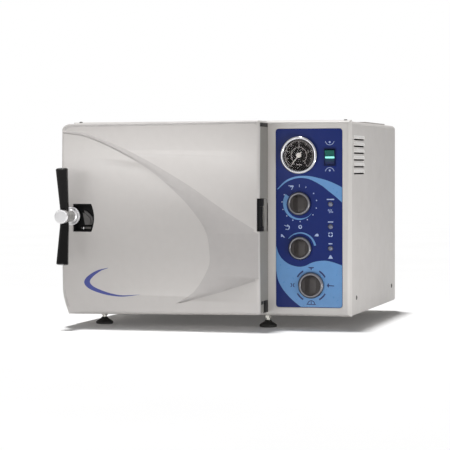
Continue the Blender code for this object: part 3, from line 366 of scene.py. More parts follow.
def refined(node, edge=0.0004, material=None, segments=2, angle=42):
    """A copy of a CAD node with its triangles merged, its sharp edges eased, and its round faces shaded smooth."""
    source = frame["nodes"][node]
    slot = SLOTS[node]
    bm = bmesh.new()
    bm.from_mesh(source.data)
    bmesh.ops.remove_doubles(bm, verts=bm.verts, dist=1e-6)
    bmesh.ops.dissolve_limit(bm, angle_limit=math.radians(0.5), verts=bm.verts, edges=bm.edges)
    for face in bm.faces:
        face.material_index = 0
    obj = piece(node + "_fine", bm, material or MATERIALS[slot], source["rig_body"], [node])
    if edge:
        modifier = obj.modifiers.new("edge", "BEVEL")
        modifier.width = edge
        modifier.segments = segments
        modifier.limit_method = "ANGLE"
        modifier.angle_limit = math.radians(angle)
        apply_modifiers(obj)
        smooth(obj.data)
    # Large faces keep their own normals, so that only the eased edges beside them shade as round.
    modifier = obj.modifiers.new("flatten", "WEIGHTED_NORMAL")
    modifier.mode = "FACE_AREA"
    modifier.keep_sharp = True
    apply_modifiers(obj)
    return obj


def turn(bm, profile, centre, direction, sides=64, closed=False):
    """Turns (radius, distance along the axis) points round an axis. A closed profile makes a ring."""
    spin = Vector(direction).to_track_quat("Z", "Y").to_matrix()
    rows = []
    for radius, along in profile:
        if radius < 1e-7:
            rows.append([bm.verts.new(Vector(centre) + spin @ Vector((0, 0, along)))])
            continue
        angles = [2 * math.pi * side / sides for side in range(sides)]
        rows.append([bm.verts.new(Vector(centre) + spin @ Vector(
            (radius * math.cos(a), radius * math.sin(a), along))) for a in angles])
    pairs = list(zip(rows, rows[1:] + rows[:1] if closed else rows[1:]))
    for first, second in pairs:
        for side in range(sides):
            nxt = (side + 1) % sides
            corners = [first[side % len(first)], first[nxt % len(first)],
                       second[nxt % len(second)], second[side % len(second)]]
            unique = list(dict.fromkeys(corners))
            if len(unique) > 2:
                bm.faces.new(unique)


def turned(name, profile, spot, direction, sides, material, body, replaces=(), closed=False):
    """A piece made by turning a profile."""
    bm = bmesh.new()
    turn(bm, profile, spot, direction, sides, closed)
    return piece(name, bm, material, body, replaces)


def skin(bm, rings, caps=True):
    """Joins rings of vertices with the same count, one to the next, with a cap over each end."""
    if caps:
        bm.faces.new(rings[0])
        bm.faces.new(rings[-1][::-1])
    for front, back in zip(rings, rings[1:]):
        for step in range(len(front)):
            after = (step + 1) % len(front)
            bm.faces.new((front[after], front[step], back[step], back[after]))


def slab(bm, outline, near, far):
    """A prism along Y between two depths."""
    skin(bm, [[bm.verts.new((x, y, z)) for x, z in outline] for y in (near, far)])


def ribbon(bm, first, second, near, far, ring=False):
    """A strip along Y's depths between two lines of (x, z) points with the same count."""
    rows = [[bm.verts.new((x, y, z)) for x, z in line]
            for line, y in ((first, near), (second, near), (second, far), (first, far))]
    sections = list(zip(*rows))
    skin(bm, sections + sections[:1] if ring else sections, caps=not ring)


def box(bm, low, high, edge=0.0):
    made = bmesh.ops.create_cube(bm, size=1.0)["verts"]
    low, high = Vector(low), Vector(high)
    size = high - low
    bmesh.ops.scale(bm, vec=size, verts=made)
    bmesh.ops.translate(bm, vec=(low + high) / 2, verts=made)
    if edge:
        edges = list({e for v in made for e in v.link_edges})
        bmesh.ops.bevel(bm, geom=edges, offset=edge, segments=2, affect="EDGES", profile=0.5)


def arc(centre, radii, start, stop, steps):
    """Points on an ellipse's arc, in degrees, as (x, z)."""
    angles = [math.radians(start + (stop - start) * step / steps) for step in range(steps + 1)]
    return [(centre[0] + radii[0] * math.cos(a), centre[1] + radii[1] * math.sin(a)) for a in angles]


def flowing(points, count=40):
    """A smooth line of `count` points through the given ones."""
    points = [Vector(p) for p in points]
    padded = [2 * points[0] - points[1]] + points + [2 * points[-1] - points[-2]]
    line = []
    for step in range(count):
        place = step / (count - 1) * (len(points) - 1)
        index = min(int(place), len(points) - 2)
        t = place - index
        a, b, c, d = padded[index:index + 4]
        spot = 0.5 * (2 * b + (c - a) * t + (2 * a - 5 * b + 4 * c - d) * t ** 2
                      + (3 * b - a - 3 * c + d) * t ** 3)
        line.append((spot.x, spot.y))
    return line


def centre(node):
    low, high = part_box(node)
    return (low + high) / 2


# ---- Door ----
def fall_back(z):
    """How far the bowed face of the cover lies behind its middle at a height."""
    middle, half = (COVER_LOW.z + COVER_HIGH.z) / 2, (COVER_HIGH.z - COVER_LOW.z) / 2
    return COVER_BULGE * min(1.0, abs(z - middle) / half) ** 2


def cover_outline(inset):
    """The cover's outline as (x, z). Its free end hangs a little lower than its hinged end."""
    left, right = COVER_LOW.x + inset, COVER_HIGH.x - inset
    high = COVER_TOP - inset
    low = COVER_BOTTOM + inset
    points = (
        arc((right - 0.005, high - 0.005), (0.005, 0.005), 0, 90, 6)
        + arc((left + 0.016, high - 0.010), (0.016, 0.010), 90, 180, 12)
        + flowing([(left, low + 0.0420), (left + 0.0018, low + 0.0280), (left + 0.0060, low + 0.0130),
                   (left + 0.0105, low)], 12)
        + arc((right - 0.005, low + 0.005), (0.005, 0.005), 270, 360, 6)
    )
    droop = COVER_DROOP / (COVER_HIGH.x - COVER_LOW.x)
    return [(x, z - droop * (COVER_HIGH.x - x)) for x, z in points]


def cover_block(inset, back):
    """The cover's outer or inner shape, with its front edge rounded."""
    bm = bmesh.new()
    radius = COVER_ROUND - inset
    steps = 8
    rings = []
    for step in range(steps + 1):
        angle = math.pi / 2 * step / steps
        y = COVER_FACE + inset + radius * (1 - math.cos(angle))
        outline = cover_outline(inset + radius * (1 - math.sin(angle)))
        rings.append([bm.verts.new((x, y, z)) for x, z in outline])
    rings.append([bm.verts.new((x, back, z)) for x, z in cover_outline(inset)])
    skin(bm, rings)
    return bm


def wedge_cutter():
    """The sunken field between the cover's long diagonal crease and its round one."""
    upper = flowing(UPPER_CREASE, 36)
    inner = flowing(ROUND_CREASE, 36)
    lower = flowing(LOWER_CREASE, 14)
    rim = upper + lower[::-1] + inner[::-1][1:]
    floor = []
    for index, spot in enumerate(rim):
        before, after = Vector(rim[index - 1]), Vector(rim[(index + 1) % len(rim)])
        along = (after - before).normalized()
        inward = Vector((along.y, -along.x))
        offsets = [Vector(p) - Vector(spot) for p in rim]
        room = min((o.length for o in offsets if o.dot(inward) > 0.2 * o.length > 0), default=0.0)
        moved = Vector(spot) + inward * min(WEDGE_DRAFT, 0.3 * room)
        floor.append((moved.x, moved.y))
    bm = bmesh.new()
    proud = [bm.verts.new((x, COVER_FACE - 0.0010, z)) for x, z in rim]
    sunk = [bm.verts.new((x, COVER_FACE + WEDGE_DEPTH, z)) for x, z in floor]
    skin(bm, [proud, sunk])
    return bm


def make_cover():
    back = COVER_HIGH.y
    obj = piece("door_cover_fine", cover_block(0.0, back), MATERIALS["cover_plastic"], "door",
                ["door_cover"])
    cut_out(obj, wedge_cutter())
    cut_out(obj, cover_block(COVER_WALL, back + 0.01))
    slot_low, slot_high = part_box("hinge_bracket")
    for left, near, far in ((0.0120, COVER_FACE + 0.0035, FRONT + 0.01), (0.0050, COVER_FACE - 0.01, FRONT)):
        bm = bmesh.new()
        box(bm, (COVER_HIGH.x - left, near, slot_low.z - SLOT_GAP),
            (COVER_HIGH.x + 0.01, far, slot_high.z + SLOT_GAP))
        cut_out(obj, bm)
    bm = bmesh.new()
    slab(bm, notch_outline(), COVER_FACE - 0.01, FRONT + 0.01)
    cut_out(obj, bm)
    bolt = centre("closing_bolt")
    bm = bmesh.new()
    turn(bm, [(0, -0.01), (0.007, -0.01), (0.007, 0.03), (0, 0.03)], (bolt.x, COVER_FACE, bolt.z), BACK, 40)
    cut_out(obj, bm)
    obj.data.materials.clear()
    for material in (MATERIALS["cover_plastic"], WEDGE_SHADE_PLASTIC, COVER_SIDE_SHADE):
        obj.data.materials.append(material)
    bm = bmesh.new()
    bm.from_mesh(obj.data)
    for face in bm.faces:
        spot = face.calc_center_median()
        inside = COVER_LOW.x + COVER_ROUND < spot.x < COVER_HIGH.x - COVER_ROUND and spot.z > COVER_LOW.z + 0.014
        # The sunken field's faces take the darker plastic: painted shade.
        face.material_index = int(inside and COVER_FACE + 1e-5 < spot.y < COVER_FACE + WEDGE_DEPTH + 1e-5)
        # The cover's right side takes the darker side plastic: painted shade.
        if spot.x > COVER_HIGH.x - 0.0001:
            face.material_index = 2
    height = COVER_LOW.z + SLICE
    while height < COVER_HIGH.z:
        bmesh.ops.bisect_plane(bm, geom=bm.verts[:] + bm.edges[:] + bm.faces[:], dist=1e-6,
                               plane_co=(0, 0, height), plane_no=UP)
        height += SLICE
    for vert in bm.verts:
        vert.co.y += fall_back(vert.co.z) * (back - vert.co.y) / (back - COVER_FACE)
    bm.to_mesh(obj.data)
    bm.free()
    smooth(obj.data, 30)


def make_hinge():
    """The bracket's plate takes the cover side's darker plastic, a painted shade. Its ears, the pin and the barrel
    are black, and the plugs in the cover's side are black pads that paint the shade in the gaps at its top and
    bottom.
    """
    bracket = refined("hinge_bracket", 0.0006, MATERIALS["black_plastic"])
    bracket.data.materials.append(COVER_SIDE_SHADE)
    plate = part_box("hinge_pin")[1].y + 0.0098
    # The plate's faces take the cover side's darker plastic: painted shade.
    for face in bracket.data.polygons:
        face.material_index = int(face.center.y > plate)
    refined("door_bridge", 0.0005, MATERIALS["black_plastic"])
    refined("hinge_pin", 0.0003, MATERIALS["black_plastic"])
    side = COVER_HIGH.x
    # Black pads at the top and bottom of the cover's side: painted shade in the gaps there.
    for name, look, low, high, near, far in (
            ("upper", "rubber", 0.3525, 0.3590, 0.0075, 0.0600),
            ("lower", "black_plastic", 0.0285, 0.0500, 0.0290, 0.0600),
            ("lower_stop", "rubber", 0.0440, 0.0500, 0.0120, 0.0270)):
        bm = bmesh.new()
        box(bm, (side - 0.0040, COVER_FACE + near, low), (side + 0.0002, COVER_FACE + far, high), 0.0004)
        piece(f"cover_shade_plug_{name}", bm, MATERIALS[look], "door")


def notch_outline():
    """The latch's opening, bowed at its right."""
    low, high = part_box("latch_recess")
    middle, half = (low.z + high.z) / 2, (high.z - low.z) / 2 + FIT
    left, right = low.x - FIT, high.x + FIT
    curve = [(right - NOTCH_BOW * (step / 8) ** 2, middle + half * step / 8) for step in range(-8, 9)]
    return [(left, middle - half)] + curve + [(left, middle + half)]


def make_decal():
    """A thin crescent printed low on the cover's left."""
    bm = bmesh.new()
    rows = [[bm.verts.new((x, COVER_FACE + fall_back(z) + depth, z)) for x, z in flowing(line, 40)]
            for line, depth in ((CRESCENT_OUTER, -0.00012), (CRESCENT_INNER, -0.00012),
                                (CRESCENT_INNER, 0.00020), (CRESCENT_OUTER, 0.00020))]
    skin(bm, list(zip(*rows)))
    piece("cover_crescent", bm, DECAL_BLUE, "door")


def make_latch():
    """The closing handle's collar and hub, turned smoothly, its grips with eased edges, and the grips' ferrules."""
    bolt_low, bolt_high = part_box("closing_bolt")
    axis = centre("closing_bolt")
    collar_low, collar_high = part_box("closing_collar")
    outer = (collar_high.x - collar_low.x) / 2
    hole = (bolt_high.x - bolt_low.x) / 2 + FIT
    length = collar_high.y - collar_low.y
    start = Vector((axis.x, collar_high.y, axis.z))
    ring = [(hole, 0), (outer - 0.0022, 0), (outer, 0.0014)]
    ring += [(outer - 0.0016 * (1 - math.cos(a)), length - 0.0016 * (1 - math.sin(a)))
             for a in (0, math.pi / 8, math.pi / 4, math.pi * 3 / 8, math.pi / 2)]
    ring += [(outer - 0.0040, length - 0.0003), (outer - 0.0046, length - 0.0010), (hole, length - 0.0010)]
    turned("closing_collar_fine", ring, start, OUT, 72, SATIN_CHROME, "closing_collar",
           ["closing_collar"], closed=True)

    hub_low, hub_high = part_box("handle_hub")
    start = Vector((axis.x, hub_high.y, axis.z))
    length = hub_high.y - hub_low.y
    outer = (hub_high.x - hub_low.x) / 2
    cap = length - 0.0108
    bore = hub_high.y - bolt_low.y + FIT
    body = [(hole, 0), (outer - 0.0006, 0), (outer, 0.0006), (outer, 0.0035), (outer - 0.0020, 0.0058),
            (outer - 0.0020, cap), (outer - 0.0010, cap + 0.0002), (outer, cap + 0.0012), (outer, length - 0.0028),
            (outer - 0.0004, length - 0.0015), (outer - 0.0014, length - 0.0006), (outer - 0.0028, length - 0.0001),
            (outer - 0.0042, length), (0, length - 0.0002), (0, bore), (hole, bore)]
    hub = turned("handle_hub_fine", body, start, OUT, 72, SATIN_CHROME, "handle", ["handle_hub"],
                 closed=True)
    hub.data.materials.append(TURNED_NECK)
    for face in hub.data.polygons:
        face.material_index = int(start.y - cap < face.center.y < start.y - 0.0050)

    refined("upper_grip", 0.0007, segments=3)
    refined("lower_grip", 0.0007, segments=3)
    for name, side in (("upper_ferrule", 1), ("lower_ferrule", -1)):
        direction = Matrix.Rotation(math.radians(GRIP_LEAN) * side, 3, "X") @ (UP * side)
        base = Vector((axis.x, hub_low.y + 0.0208, axis.z)) + direction * 0.0088
        turned(name, [(0, 0), (0.0072, 0), (0.0072, 0.0030), (0.0066, 0.0036), (0, 0.0036)], base, direction, 36,
               DARK_METAL, "handle")


def make_recess():
    """The black liner, and the slide plate, keeper and screw that show inside it."""
    refined("latch_recess", 0.0005)
    low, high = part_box("latch_recess")
    floor = COVER_FACE + 0.0108
    wide = high.x - low.x
    bm = bmesh.new()
    for reach, rise, near, far in ((0.82, 0.78, 0.0030, 0.0), (0.70, 0.62, 0.0052, 0.0026)):
        outline = arc((low.x + 0.0030, low.z + 0.0175), (wide * reach, 0.0290 * rise), 62, 0, 10)
        outline += [(low.x + wide * reach, low.z + 0.0120), (low.x + 0.0200, low.z + 0.0120)]
        slab(bm, outline, floor - near, floor - far)
    piece("slide_plate", bm, RECESS_GREY, "door")
    bm = bmesh.new()
    box(bm, (low.x + 0.0120, floor - 0.0046, low.z + 0.0040), (high.x - 0.0080, floor, low.z + 0.0085), 0.0008)
    piece("keeper_bar", bm, DARK_METAL, "door")
    turned("keeper_screw", [(0, 0), (0.0030, 0), (0.0030, 0.0012), (0.0022, 0.0022), (0, 0.0024)],
           (low.x + 0.0165, floor - 0.0040, low.z + 0.0062), OUT, 24, MATERIALS["chrome"], "door")


# ---- Control panel ----
def on_panel(across, up):
    """A place on the panel from its shares of the panel's width and height."""
    return (PANEL_LOW.x + across * (PANEL_HIGH.x - PANEL_LOW.x), PANEL_LOW.z + up * (PANEL_HIGH.z - PANEL_LOW.z))


def depths(level):
    """The front and the back of a printed layer."""
    return PANEL_FACE - LAYER * level, PANEL_FACE + LAYER


def beside(spot, across, up):
    return (spot[0] + across, spot[1] + up)


def band(bm, middle, inner, outer, start, stop, level=2):
    """A printed arc. Inner and outer are its radii, or pairs that it grows between."""
    inner = inner if isinstance(inner, tuple) else (inner, inner)
    outer = outer if isinstance(outer, tuple) else (outer, outer)
    steps = max(3, int(abs(stop - start) / 5))
    full = abs(stop - start) >= 360
    lines = []
    for radii in (inner, outer):
        line = []
        for step in range(steps if full else steps + 1):
            share = step / steps
            angle = math.radians(start + (stop - start) * share)
            radius = radii[0] + (radii[1] - radii[0]) * share
            line.append(beside(middle, radius * math.cos(angle), radius * math.sin(angle)))
        lines.append(line)
    ribbon(bm, *lines, *depths(level), ring=full)


def dot(bm, spot, radius, sides=14):
    slab(bm, arc(spot, (radius, radius), 0, 360 - 360 / sides, sides - 1), *depths(2))


def bar(bm, first, second, width):
    """A printed stroke with square ends."""
    first, second = Vector(first), Vector(second)
    along = (second - first).normalized()
    side = Vector((-along.y, along.x)) * width / 2
    corners = [first + side, second + side, second - side, first - side]
    slab(bm, [(p.x, p.y) for p in corners], *depths(2))


def shape(bm, middle, points):
    """A printed outline given in millimetres about its middle."""
    slab(bm, [beside(middle, x / 1000, z / 1000) for x, z in points], *depths(2))


def polar(middle, radius, degrees):
    angle = math.radians(degrees)
    return beside(middle, radius * math.cos(angle), radius * math.sin(angle))


def flat(node):
    spot = centre(node)
    return (spot.x, spot.z)


def make_overlay():
    refined("control_overlay", 0.0002, segments=1)
    bm = bmesh.new()
    upper = flowing([on_panel(*p) for p in (
        (0.022, 0.664), (0.137, 0.707), (0.238, 0.726), (0.339, 0.735), (0.440, 0.7365), (0.540, 0.733),
        (0.753, 0.713), (0.894, 0.692), (0.995, 0.672))], 48)
    lower = flowing([on_panel(*p) for p in (
        (0.028, 0.660), (0.145, 0.698), (0.245, 0.716), (0.345, 0.7245), (0.440, 0.7235), (0.540, 0.713),
        (0.692, 0.682), (0.793, 0.652), (0.894, 0.622), (0.995, 0.588))], 48)
    ribbon(bm, upper, lower, *depths(1))
    hill = flowing([on_panel(*p) for p in (
        (0.004, 0.345), (0.040, 0.302), (0.102, 0.268), (0.206, 0.241), (0.336, 0.228), (0.441, 0.233),
        (0.552, 0.2526), (0.681, 0.2625), (0.810, 0.260), (0.996, 0.238))], 60)
    corner = arc(on_panel(0.955, 0.0175), (0.0048, 0.0048), 0, -90, 5)
    scoop = flowing([on_panel(*p) for p in (
        (0.378, 0.003), (0.273, 0.033), (0.161, 0.074), (0.080, 0.115), (0.030, 0.155), (0.004, 0.205))], 30)
    slab(bm, hill + corner + scoop, *depths(1))
    timer, thermostat, valve = flat("timer_knob"), flat("thermostat_knob"), flat("valve_knob")
    band(bm, timer, (0.0218, 0.0274), (0.0298, 0.0277), 146, 322, 1)
    band(bm, thermostat, (0.0262, 0.0248), (0.0274, 0.0286), 142, 10, 1)
    piece("print_light_blue", bm, PRINT_BLUE, "cabinet")

    bm = bmesh.new()
    for step in range(11):
        dot(bm, polar(timer, 0.0312, 35 - 24.5 * step), 0.0011)
    clock = polar(timer, 0.0325, 118)
    shape(bm, clock, [(-4.5, 3.2), (4.0, 3.2), (5.2, 1.8), (4.0, 0.2), (-1.5, 0.2), (-1.5, 1.5), (3.0, 1.8),
                      (-4.5, 2.0)])
    bar(bm, beside(clock, 0.0035, 0), beside(clock, 0.0012, -0.0042), 0.0012)
    bar(bm, polar(timer, 0.0290, 90), polar(timer, 0.0335, 90), 0.0009)
    bar(bm, polar(timer, 0.0295, 68), polar(timer, 0.0325, 68), 0.0009)
    square = beside(thermostat, 0, 0.0372)
    band(bm, square, 0.0017, 0.0034, 45, 405)
    swirl = beside(thermostat, -0.0235, 0.0362)
    band(bm, swirl, 0.0030, 0.0046, 95, -95)
    bar(bm, beside(swirl, -0.0050, 0.0036), beside(swirl, 0.0012, 0.0018), 0.0013)
    bar(bm, beside(swirl, -0.0030, -0.0030), beside(swirl, 0.0010, -0.0036), 0.0013)
    bird = beside(thermostat, -0.0310, 0.0212)
    shape(bm, bird, [(-3.6, 3.0), (-1.8, 3.0), (0.6, 0.6), (3.6, -3.0), (1.2, -2.6), (-1.0, -0.8), (-3.6, -2.0)])
    drop = beside(thermostat, 0.0292, 0.0232)
    shape(bm, drop, [(-3.8, -2.0), (-2.4, 0.4), (0.2, 2.4), (2.6, 2.2), (3.8, -0.4), (2.8, -2.6)])
    lamps = [flat(name) for name in ("lamp_upper", "lamp_middle", "lamp_lower")]
    for spot, wide in zip(lamps, (0.0130, 0.0092, 0.0066)):
        label = beside(spot, 0, 0.0082)
        bar(bm, beside(label, -wide / 2, 0), beside(label, wide / 2, 0), 0.0019)
    steam = beside(lamps[0], 0, -0.0124)
    for shift in (-0.0026, 0.0, 0.0026):
        band(bm, beside(steam, shift, 0.0018), 0.0011, 0.0018, 90, 270)
        band(bm, beside(steam, shift, -0.0012), 0.0011, 0.0018, 90, -90)
    fan = beside(lamps[1], 0, -0.0138)
    for turned_by in (45, 135, 225, 315):
        band(bm, polar(fan, 0.0022, turned_by), 0.0006, 0.0024, turned_by - 80, turned_by + 80)
    ready = beside(lamps[2], 0, -0.0150)
    shape(bm, ready, [(-4.2, -2.8), (4.2, -2.8), (0.8, 3.4), (-0.8, 3.4)])
    rocker = flat("switch_housing")
    for rise, inward, start in ((0.0290, -0.0028, 190), (-0.0258, 0.0028, 10)):
        bow = beside(rocker, -0.0002, rise)
        band(bm, bow, 0.0073, 0.0082, start, start + 160)
        dot(bm, beside(bow, 0, inward), 0.0017)
    piece("print_pale", bm, PRINT_PALE, "cabinet")

    bm = bmesh.new()
    for quarter in (45, 135, 225, 315):
        band(bm, valve, 0.0272, 0.0300, quarter - 15, quarter + 15)
    funnel = beside(valve, 0, 0.0295)
    shape(bm, funnel, [(-5.5, 2.4), (5.5, 2.4), (4.2, 0.9), (0.9, -0.4), (0.9, -3.0), (-0.9, -3.0), (-0.9, -0.4),
                       (-4.2, 0.9)])
    waist = beside(valve, -0.0335, 0)
    band(bm, beside(waist, -0.0046, 0), 0.0026, 0.0040, 70, -70)
    band(bm, beside(waist, 0.0046, 0), 0.0026, 0.0040, 110, 250)
    arrow = beside(valve, 0.0325, 0)
    shape(bm, arrow, [(-4.6, 0.0), (-1.6, 4.6), (-0.6, 0.9), (8.4, 0.2), (8.4, -1.4), (-0.6, -0.9), (-1.6, -4.0)])
    dome = beside(valve, 0, -0.0332)
    band(bm, dome, 0.0056, 0.0070, 0, 180)
    bar(bm, beside(dome, -0.0084, 0), beside(dome, 0.0084, 0), 0.0014)
    bar(bm, dome, beside(dome, 0, 0.0050), 0.0012)
    piece("print_navy", bm, PRINT_NAVY, "cabinet")


def make_gauge():
    low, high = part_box("gauge_bezel")
    spot = centre("gauge_bezel")
    outer = (high.x - low.x) / 2
    inner = (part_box("gauge_case")[1].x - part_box("gauge_case")[0].x) / 2 + 0.0004
    depth = high.y - low.y
    profile = [(inner, 0), (outer, 0), (outer, depth - 0.0040)]
    crown = (outer - inner) / 2
    profile += [(outer - crown * (1 - math.cos(a)), depth - 0.0032 * (1 - math.sin(a)))
                for a in (math.pi / 10 * k for k in range(1, 9))]
    profile += [(inner + 0.0006, depth - 0.0012), (inner, depth - 0.0022)]
    turned("gauge_bezel_fine", profile, (spot.x, high.y, spot.z), OUT, 96, BEZEL_CHROME, "cabinet",
           ["gauge_bezel"], closed=True)
    refined("gauge_case", 0.0002, MATERIALS["dial_black"])
    refined("gauge_lens", 0.0, GLASS)
    refined("gauge_needle", 0.0001, MATERIALS["needle_white"])

    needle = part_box("gauge_needle")
    turned("needle_cap", [(0, 0), (0.0042, 0), (0.0044, 0.0002), (0.0040, 0.0006), (0, 0.0008)],
           (spot.x, needle[0].y + 0.0006, spot.z), OUT, 40, MATERIALS["needle_white"], "gauge_needle")
    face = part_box("gauge_case")[0].y
    middle = (spot.x, spot.z)
    bm = bmesh.new()
    near, far = face - 0.00012, face + 0.0002

    def stroke(first, second, width):
        first, second = Vector(first), Vector(second)
        side = Vector((-(second - first).y, (second - first).x)).normalized() * width / 2
        slab(bm, [tuple(p) for p in (first + side, second + side, second - side, first - side)], near, far)

    for mark in range(DIAL_MARKS + 1):
        angle = DIAL_START - DIAL_SWEEP * mark / DIAL_MARKS
        major = mark % 5 == 0
        stroke(polar(middle, 0.0208 if major else 0.0226, angle), polar(middle, 0.0246, angle),
               0.0011 if major else 0.0004)
    for radius, width in ((0.0248, 0.0006), (0.0136, 0.0008)):
        line_in = [polar(middle, radius, DIAL_START - DIAL_SWEEP * step / 60) for step in range(61)]
        line_out = [polar(middle, radius + width, DIAL_START - DIAL_SWEEP * step / 60) for step in range(61)]
        ribbon(bm, line_in, line_out, near, far)
    for mark in range(9):
        angle = DIAL_START - DIAL_SWEEP * mark / 8
        stroke(polar(middle, 0.0116, angle), polar(middle, 0.0140, angle), 0.0008)
    stroke((middle[0] - 0.0050, middle[1] - 0.0165), (middle[0] + 0.0050, middle[1] - 0.0165), 0.0012)
    piece("dial_scale", bm, DIAL_PRINT, "cabinet")
    for mark in range(5):
        angle = DIAL_START - DIAL_SWEEP * mark / 4
        numeral(str(mark), polar(middle, 0.0172, angle), near, "dial_numeral_" + str(mark))


def numeral(text, spot, depth, name):
    """A raised printed digit, centred on its spot and facing forward."""
    curve = bpy.data.curves.new(name, "FONT")
    curve.body = text
    curve.size = NUMERAL_SIZE
    curve.align_x, curve.align_y = "CENTER", "CENTER"
    curve.extrude = 0.0001
    curve.resolution_u = 3
    holder = placed(name, curve)
    mesh = evaluated_mesh(holder)
    bpy.data.objects.remove(holder)
    mesh.transform(Matrix.Translation((spot[0], depth, spot[1])) @ Matrix.Rotation(math.radians(90), 4, "X"))
    bm = bmesh.new()
    bm.from_mesh(mesh)
    bmesh.ops.remove_doubles(bm, verts=bm.verts, dist=1e-7)
    piece(name, bm, DIAL_PRINT, "cabinet")


def make_switch():
    refined("switch_housing", 0.0005, HOUSING_NAVY, segments=3)
    refined("power_rocker", 0.0005, GREEN_LENS, segments=3, angle=50)
    low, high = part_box("power_rocker")
    middle = (low.z + high.z) / 2
    nodes = [v.co for v in frame["nodes"]["power_rocker"].data.vertices]
    waist = [v for v in nodes if abs(v.z - middle) < 0.004 and v.y < (low.y + high.y) / 2]
    ridge = max(waist, key=lambda v: v.y)
    # A glowing bar along the rocker's ridge: painted highlight.
    bm = bmesh.new()
    box(bm, (low.x + 0.0002, ridge.y - 0.0005, ridge.z - 0.0016),
        (high.x - 0.0002, ridge.y + 0.0006, ridge.z + 0.0016), 0.0004)
    piece("rocker_painted_highlight", bm, RIDGE_HIGHLIGHT_GLOW, "power_rocker")


def make_knobs():
    for node in ("timer_knob", "thermostat_knob", "valve_knob"):
        low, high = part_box(node)
        spot = Vector(((low.x + high.x) / 2, FRONT, (low.z + high.z) / 2))
        radius = (high.x - low.x) / 2
        reach = FRONT - low.y
        rim = reach - 0.0050
        skirt = [(0.0030, 0.0010), (radius - 0.0008, 0.0010), (radius, 0.0016), (radius, 0.0028),
                 (radius * 0.975, 0.0042), (radius * 0.94, rim - 0.0012), (radius * 0.90, rim - 0.0003),
                 (radius * 0.85, rim), (radius * 0.80, rim - 0.0002), (radius * 0.765, rim - 0.0008),
                 (radius * 0.75, rim - 0.0016), (0.0030, rim - 0.0016)]
        turned(node + "_skirt", skirt, spot, OUT, 72, KNOB_SKIRT, node, [node], closed=True)
        stem = spot.y - low.y - (high.y - low.y)
        core = [(0, stem), (0.0028, stem), (0.0028, rim - 0.0020), (radius * 0.745, rim - 0.0020),
                (radius * 0.745, rim - 0.0010), (radius * 0.72, rim - 0.0005), (0, rim - 0.0005)]
        turned(node + "_face", core, spot, OUT, 72, MATERIALS["knob_plastic"], node)
        bm = bmesh.new()
        length = radius * 0.66
        sections = []
        for step in range(-8, 9):
            share = step / 8
            z = spot.z + length * share
            width = min(KNOB_ROOF, math.sqrt((radius * 0.70) ** 2 - (length * share) ** 2))
            crest = rim - 0.0006 + (reach - rim + 0.0006) * (1 - 0.35 * abs(share) ** 6)
            outline = [(-width, rim - 0.0008), (-width, rim - 0.0004), (-0.0012, crest - 0.0004), (0, crest),
                       (0.0012, crest - 0.0004), (width, rim - 0.0004), (width, rim - 0.0008)]
            sections.append([bm.verts.new((spot.x + x, FRONT - d, z)) for x, d in outline])
        skin(bm, sections)
        piece(node + "_grip", bm, MATERIALS["knob_plastic"], node, sharp=28)


def make_lamps():
    for name in ("lamp_upper", "lamp_middle", "lamp_lower"):
        low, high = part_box(name)
        radius = (high.x - low.x) / 2
        spot = Vector(((low.x + high.x) / 2, high.y, (low.z + high.z) / 2))
        face = high.y - FRONT
        dome = [(0, 0), (radius - 0.0002, 0), (radius - 0.0002, face)]
        dome += [((radius - 0.0002) * math.cos(a), face + 0.0022 * math.sin(a))
                 for a in (math.pi / 16 * k for k in range(1, 8))] + [(0, face + 0.0022)]
        turned(name + "_dome", dome, spot, OUT, 40, LAMP_LENS, "cabinet", [name])
        ring = [(radius + 0.0001, -0.0002), (radius + 0.0007, -0.0002), (radius + 0.0006, 0.0005),
                (radius + 0.0004, 0.0007), (radius + 0.0001, 0.0006)]
        turned(name + "_ring", ring, (spot.x, PANEL_FACE, spot.z), OUT, 40, DARK_METAL, "cabinet",
               closed=True)


# ---- Cabinet ----
def screw(name, spot, direction, radius, material):
    """A pan-head screw with a cross recess."""
    spin = Vector(direction).to_track_quat("Z", "Y").to_matrix()
    rise = min(radius * 0.5, SCREW_RISE)
    dome = [(0, -0.0002), (radius, -0.0002)]
    dome += [(radius * math.cos(a), rise * math.sin(a)) for a in (math.pi / 12 * k for k in range(0, 6))]
    obj = turned(name, dome + [(0, rise)], spot, direction, 28, material, "cabinet")
    for half in ((radius * 0.62, radius * 0.12), (radius * 0.12, radius * 0.62)):
        cut = bmesh.new()
        made = bmesh.ops.create_cube(cut, size=1.0)["verts"]
        bmesh.ops.scale(cut, vec=(half[0] * 2, half[1] * 2, radius * 0.5), verts=made)
        bmesh.ops.transform(cut, matrix=Matrix.Translation(Vector(spot) + Vector(direction) * rise) @ spin.to_4x4(),
                            verts=made)
        cut_out(obj, cut)


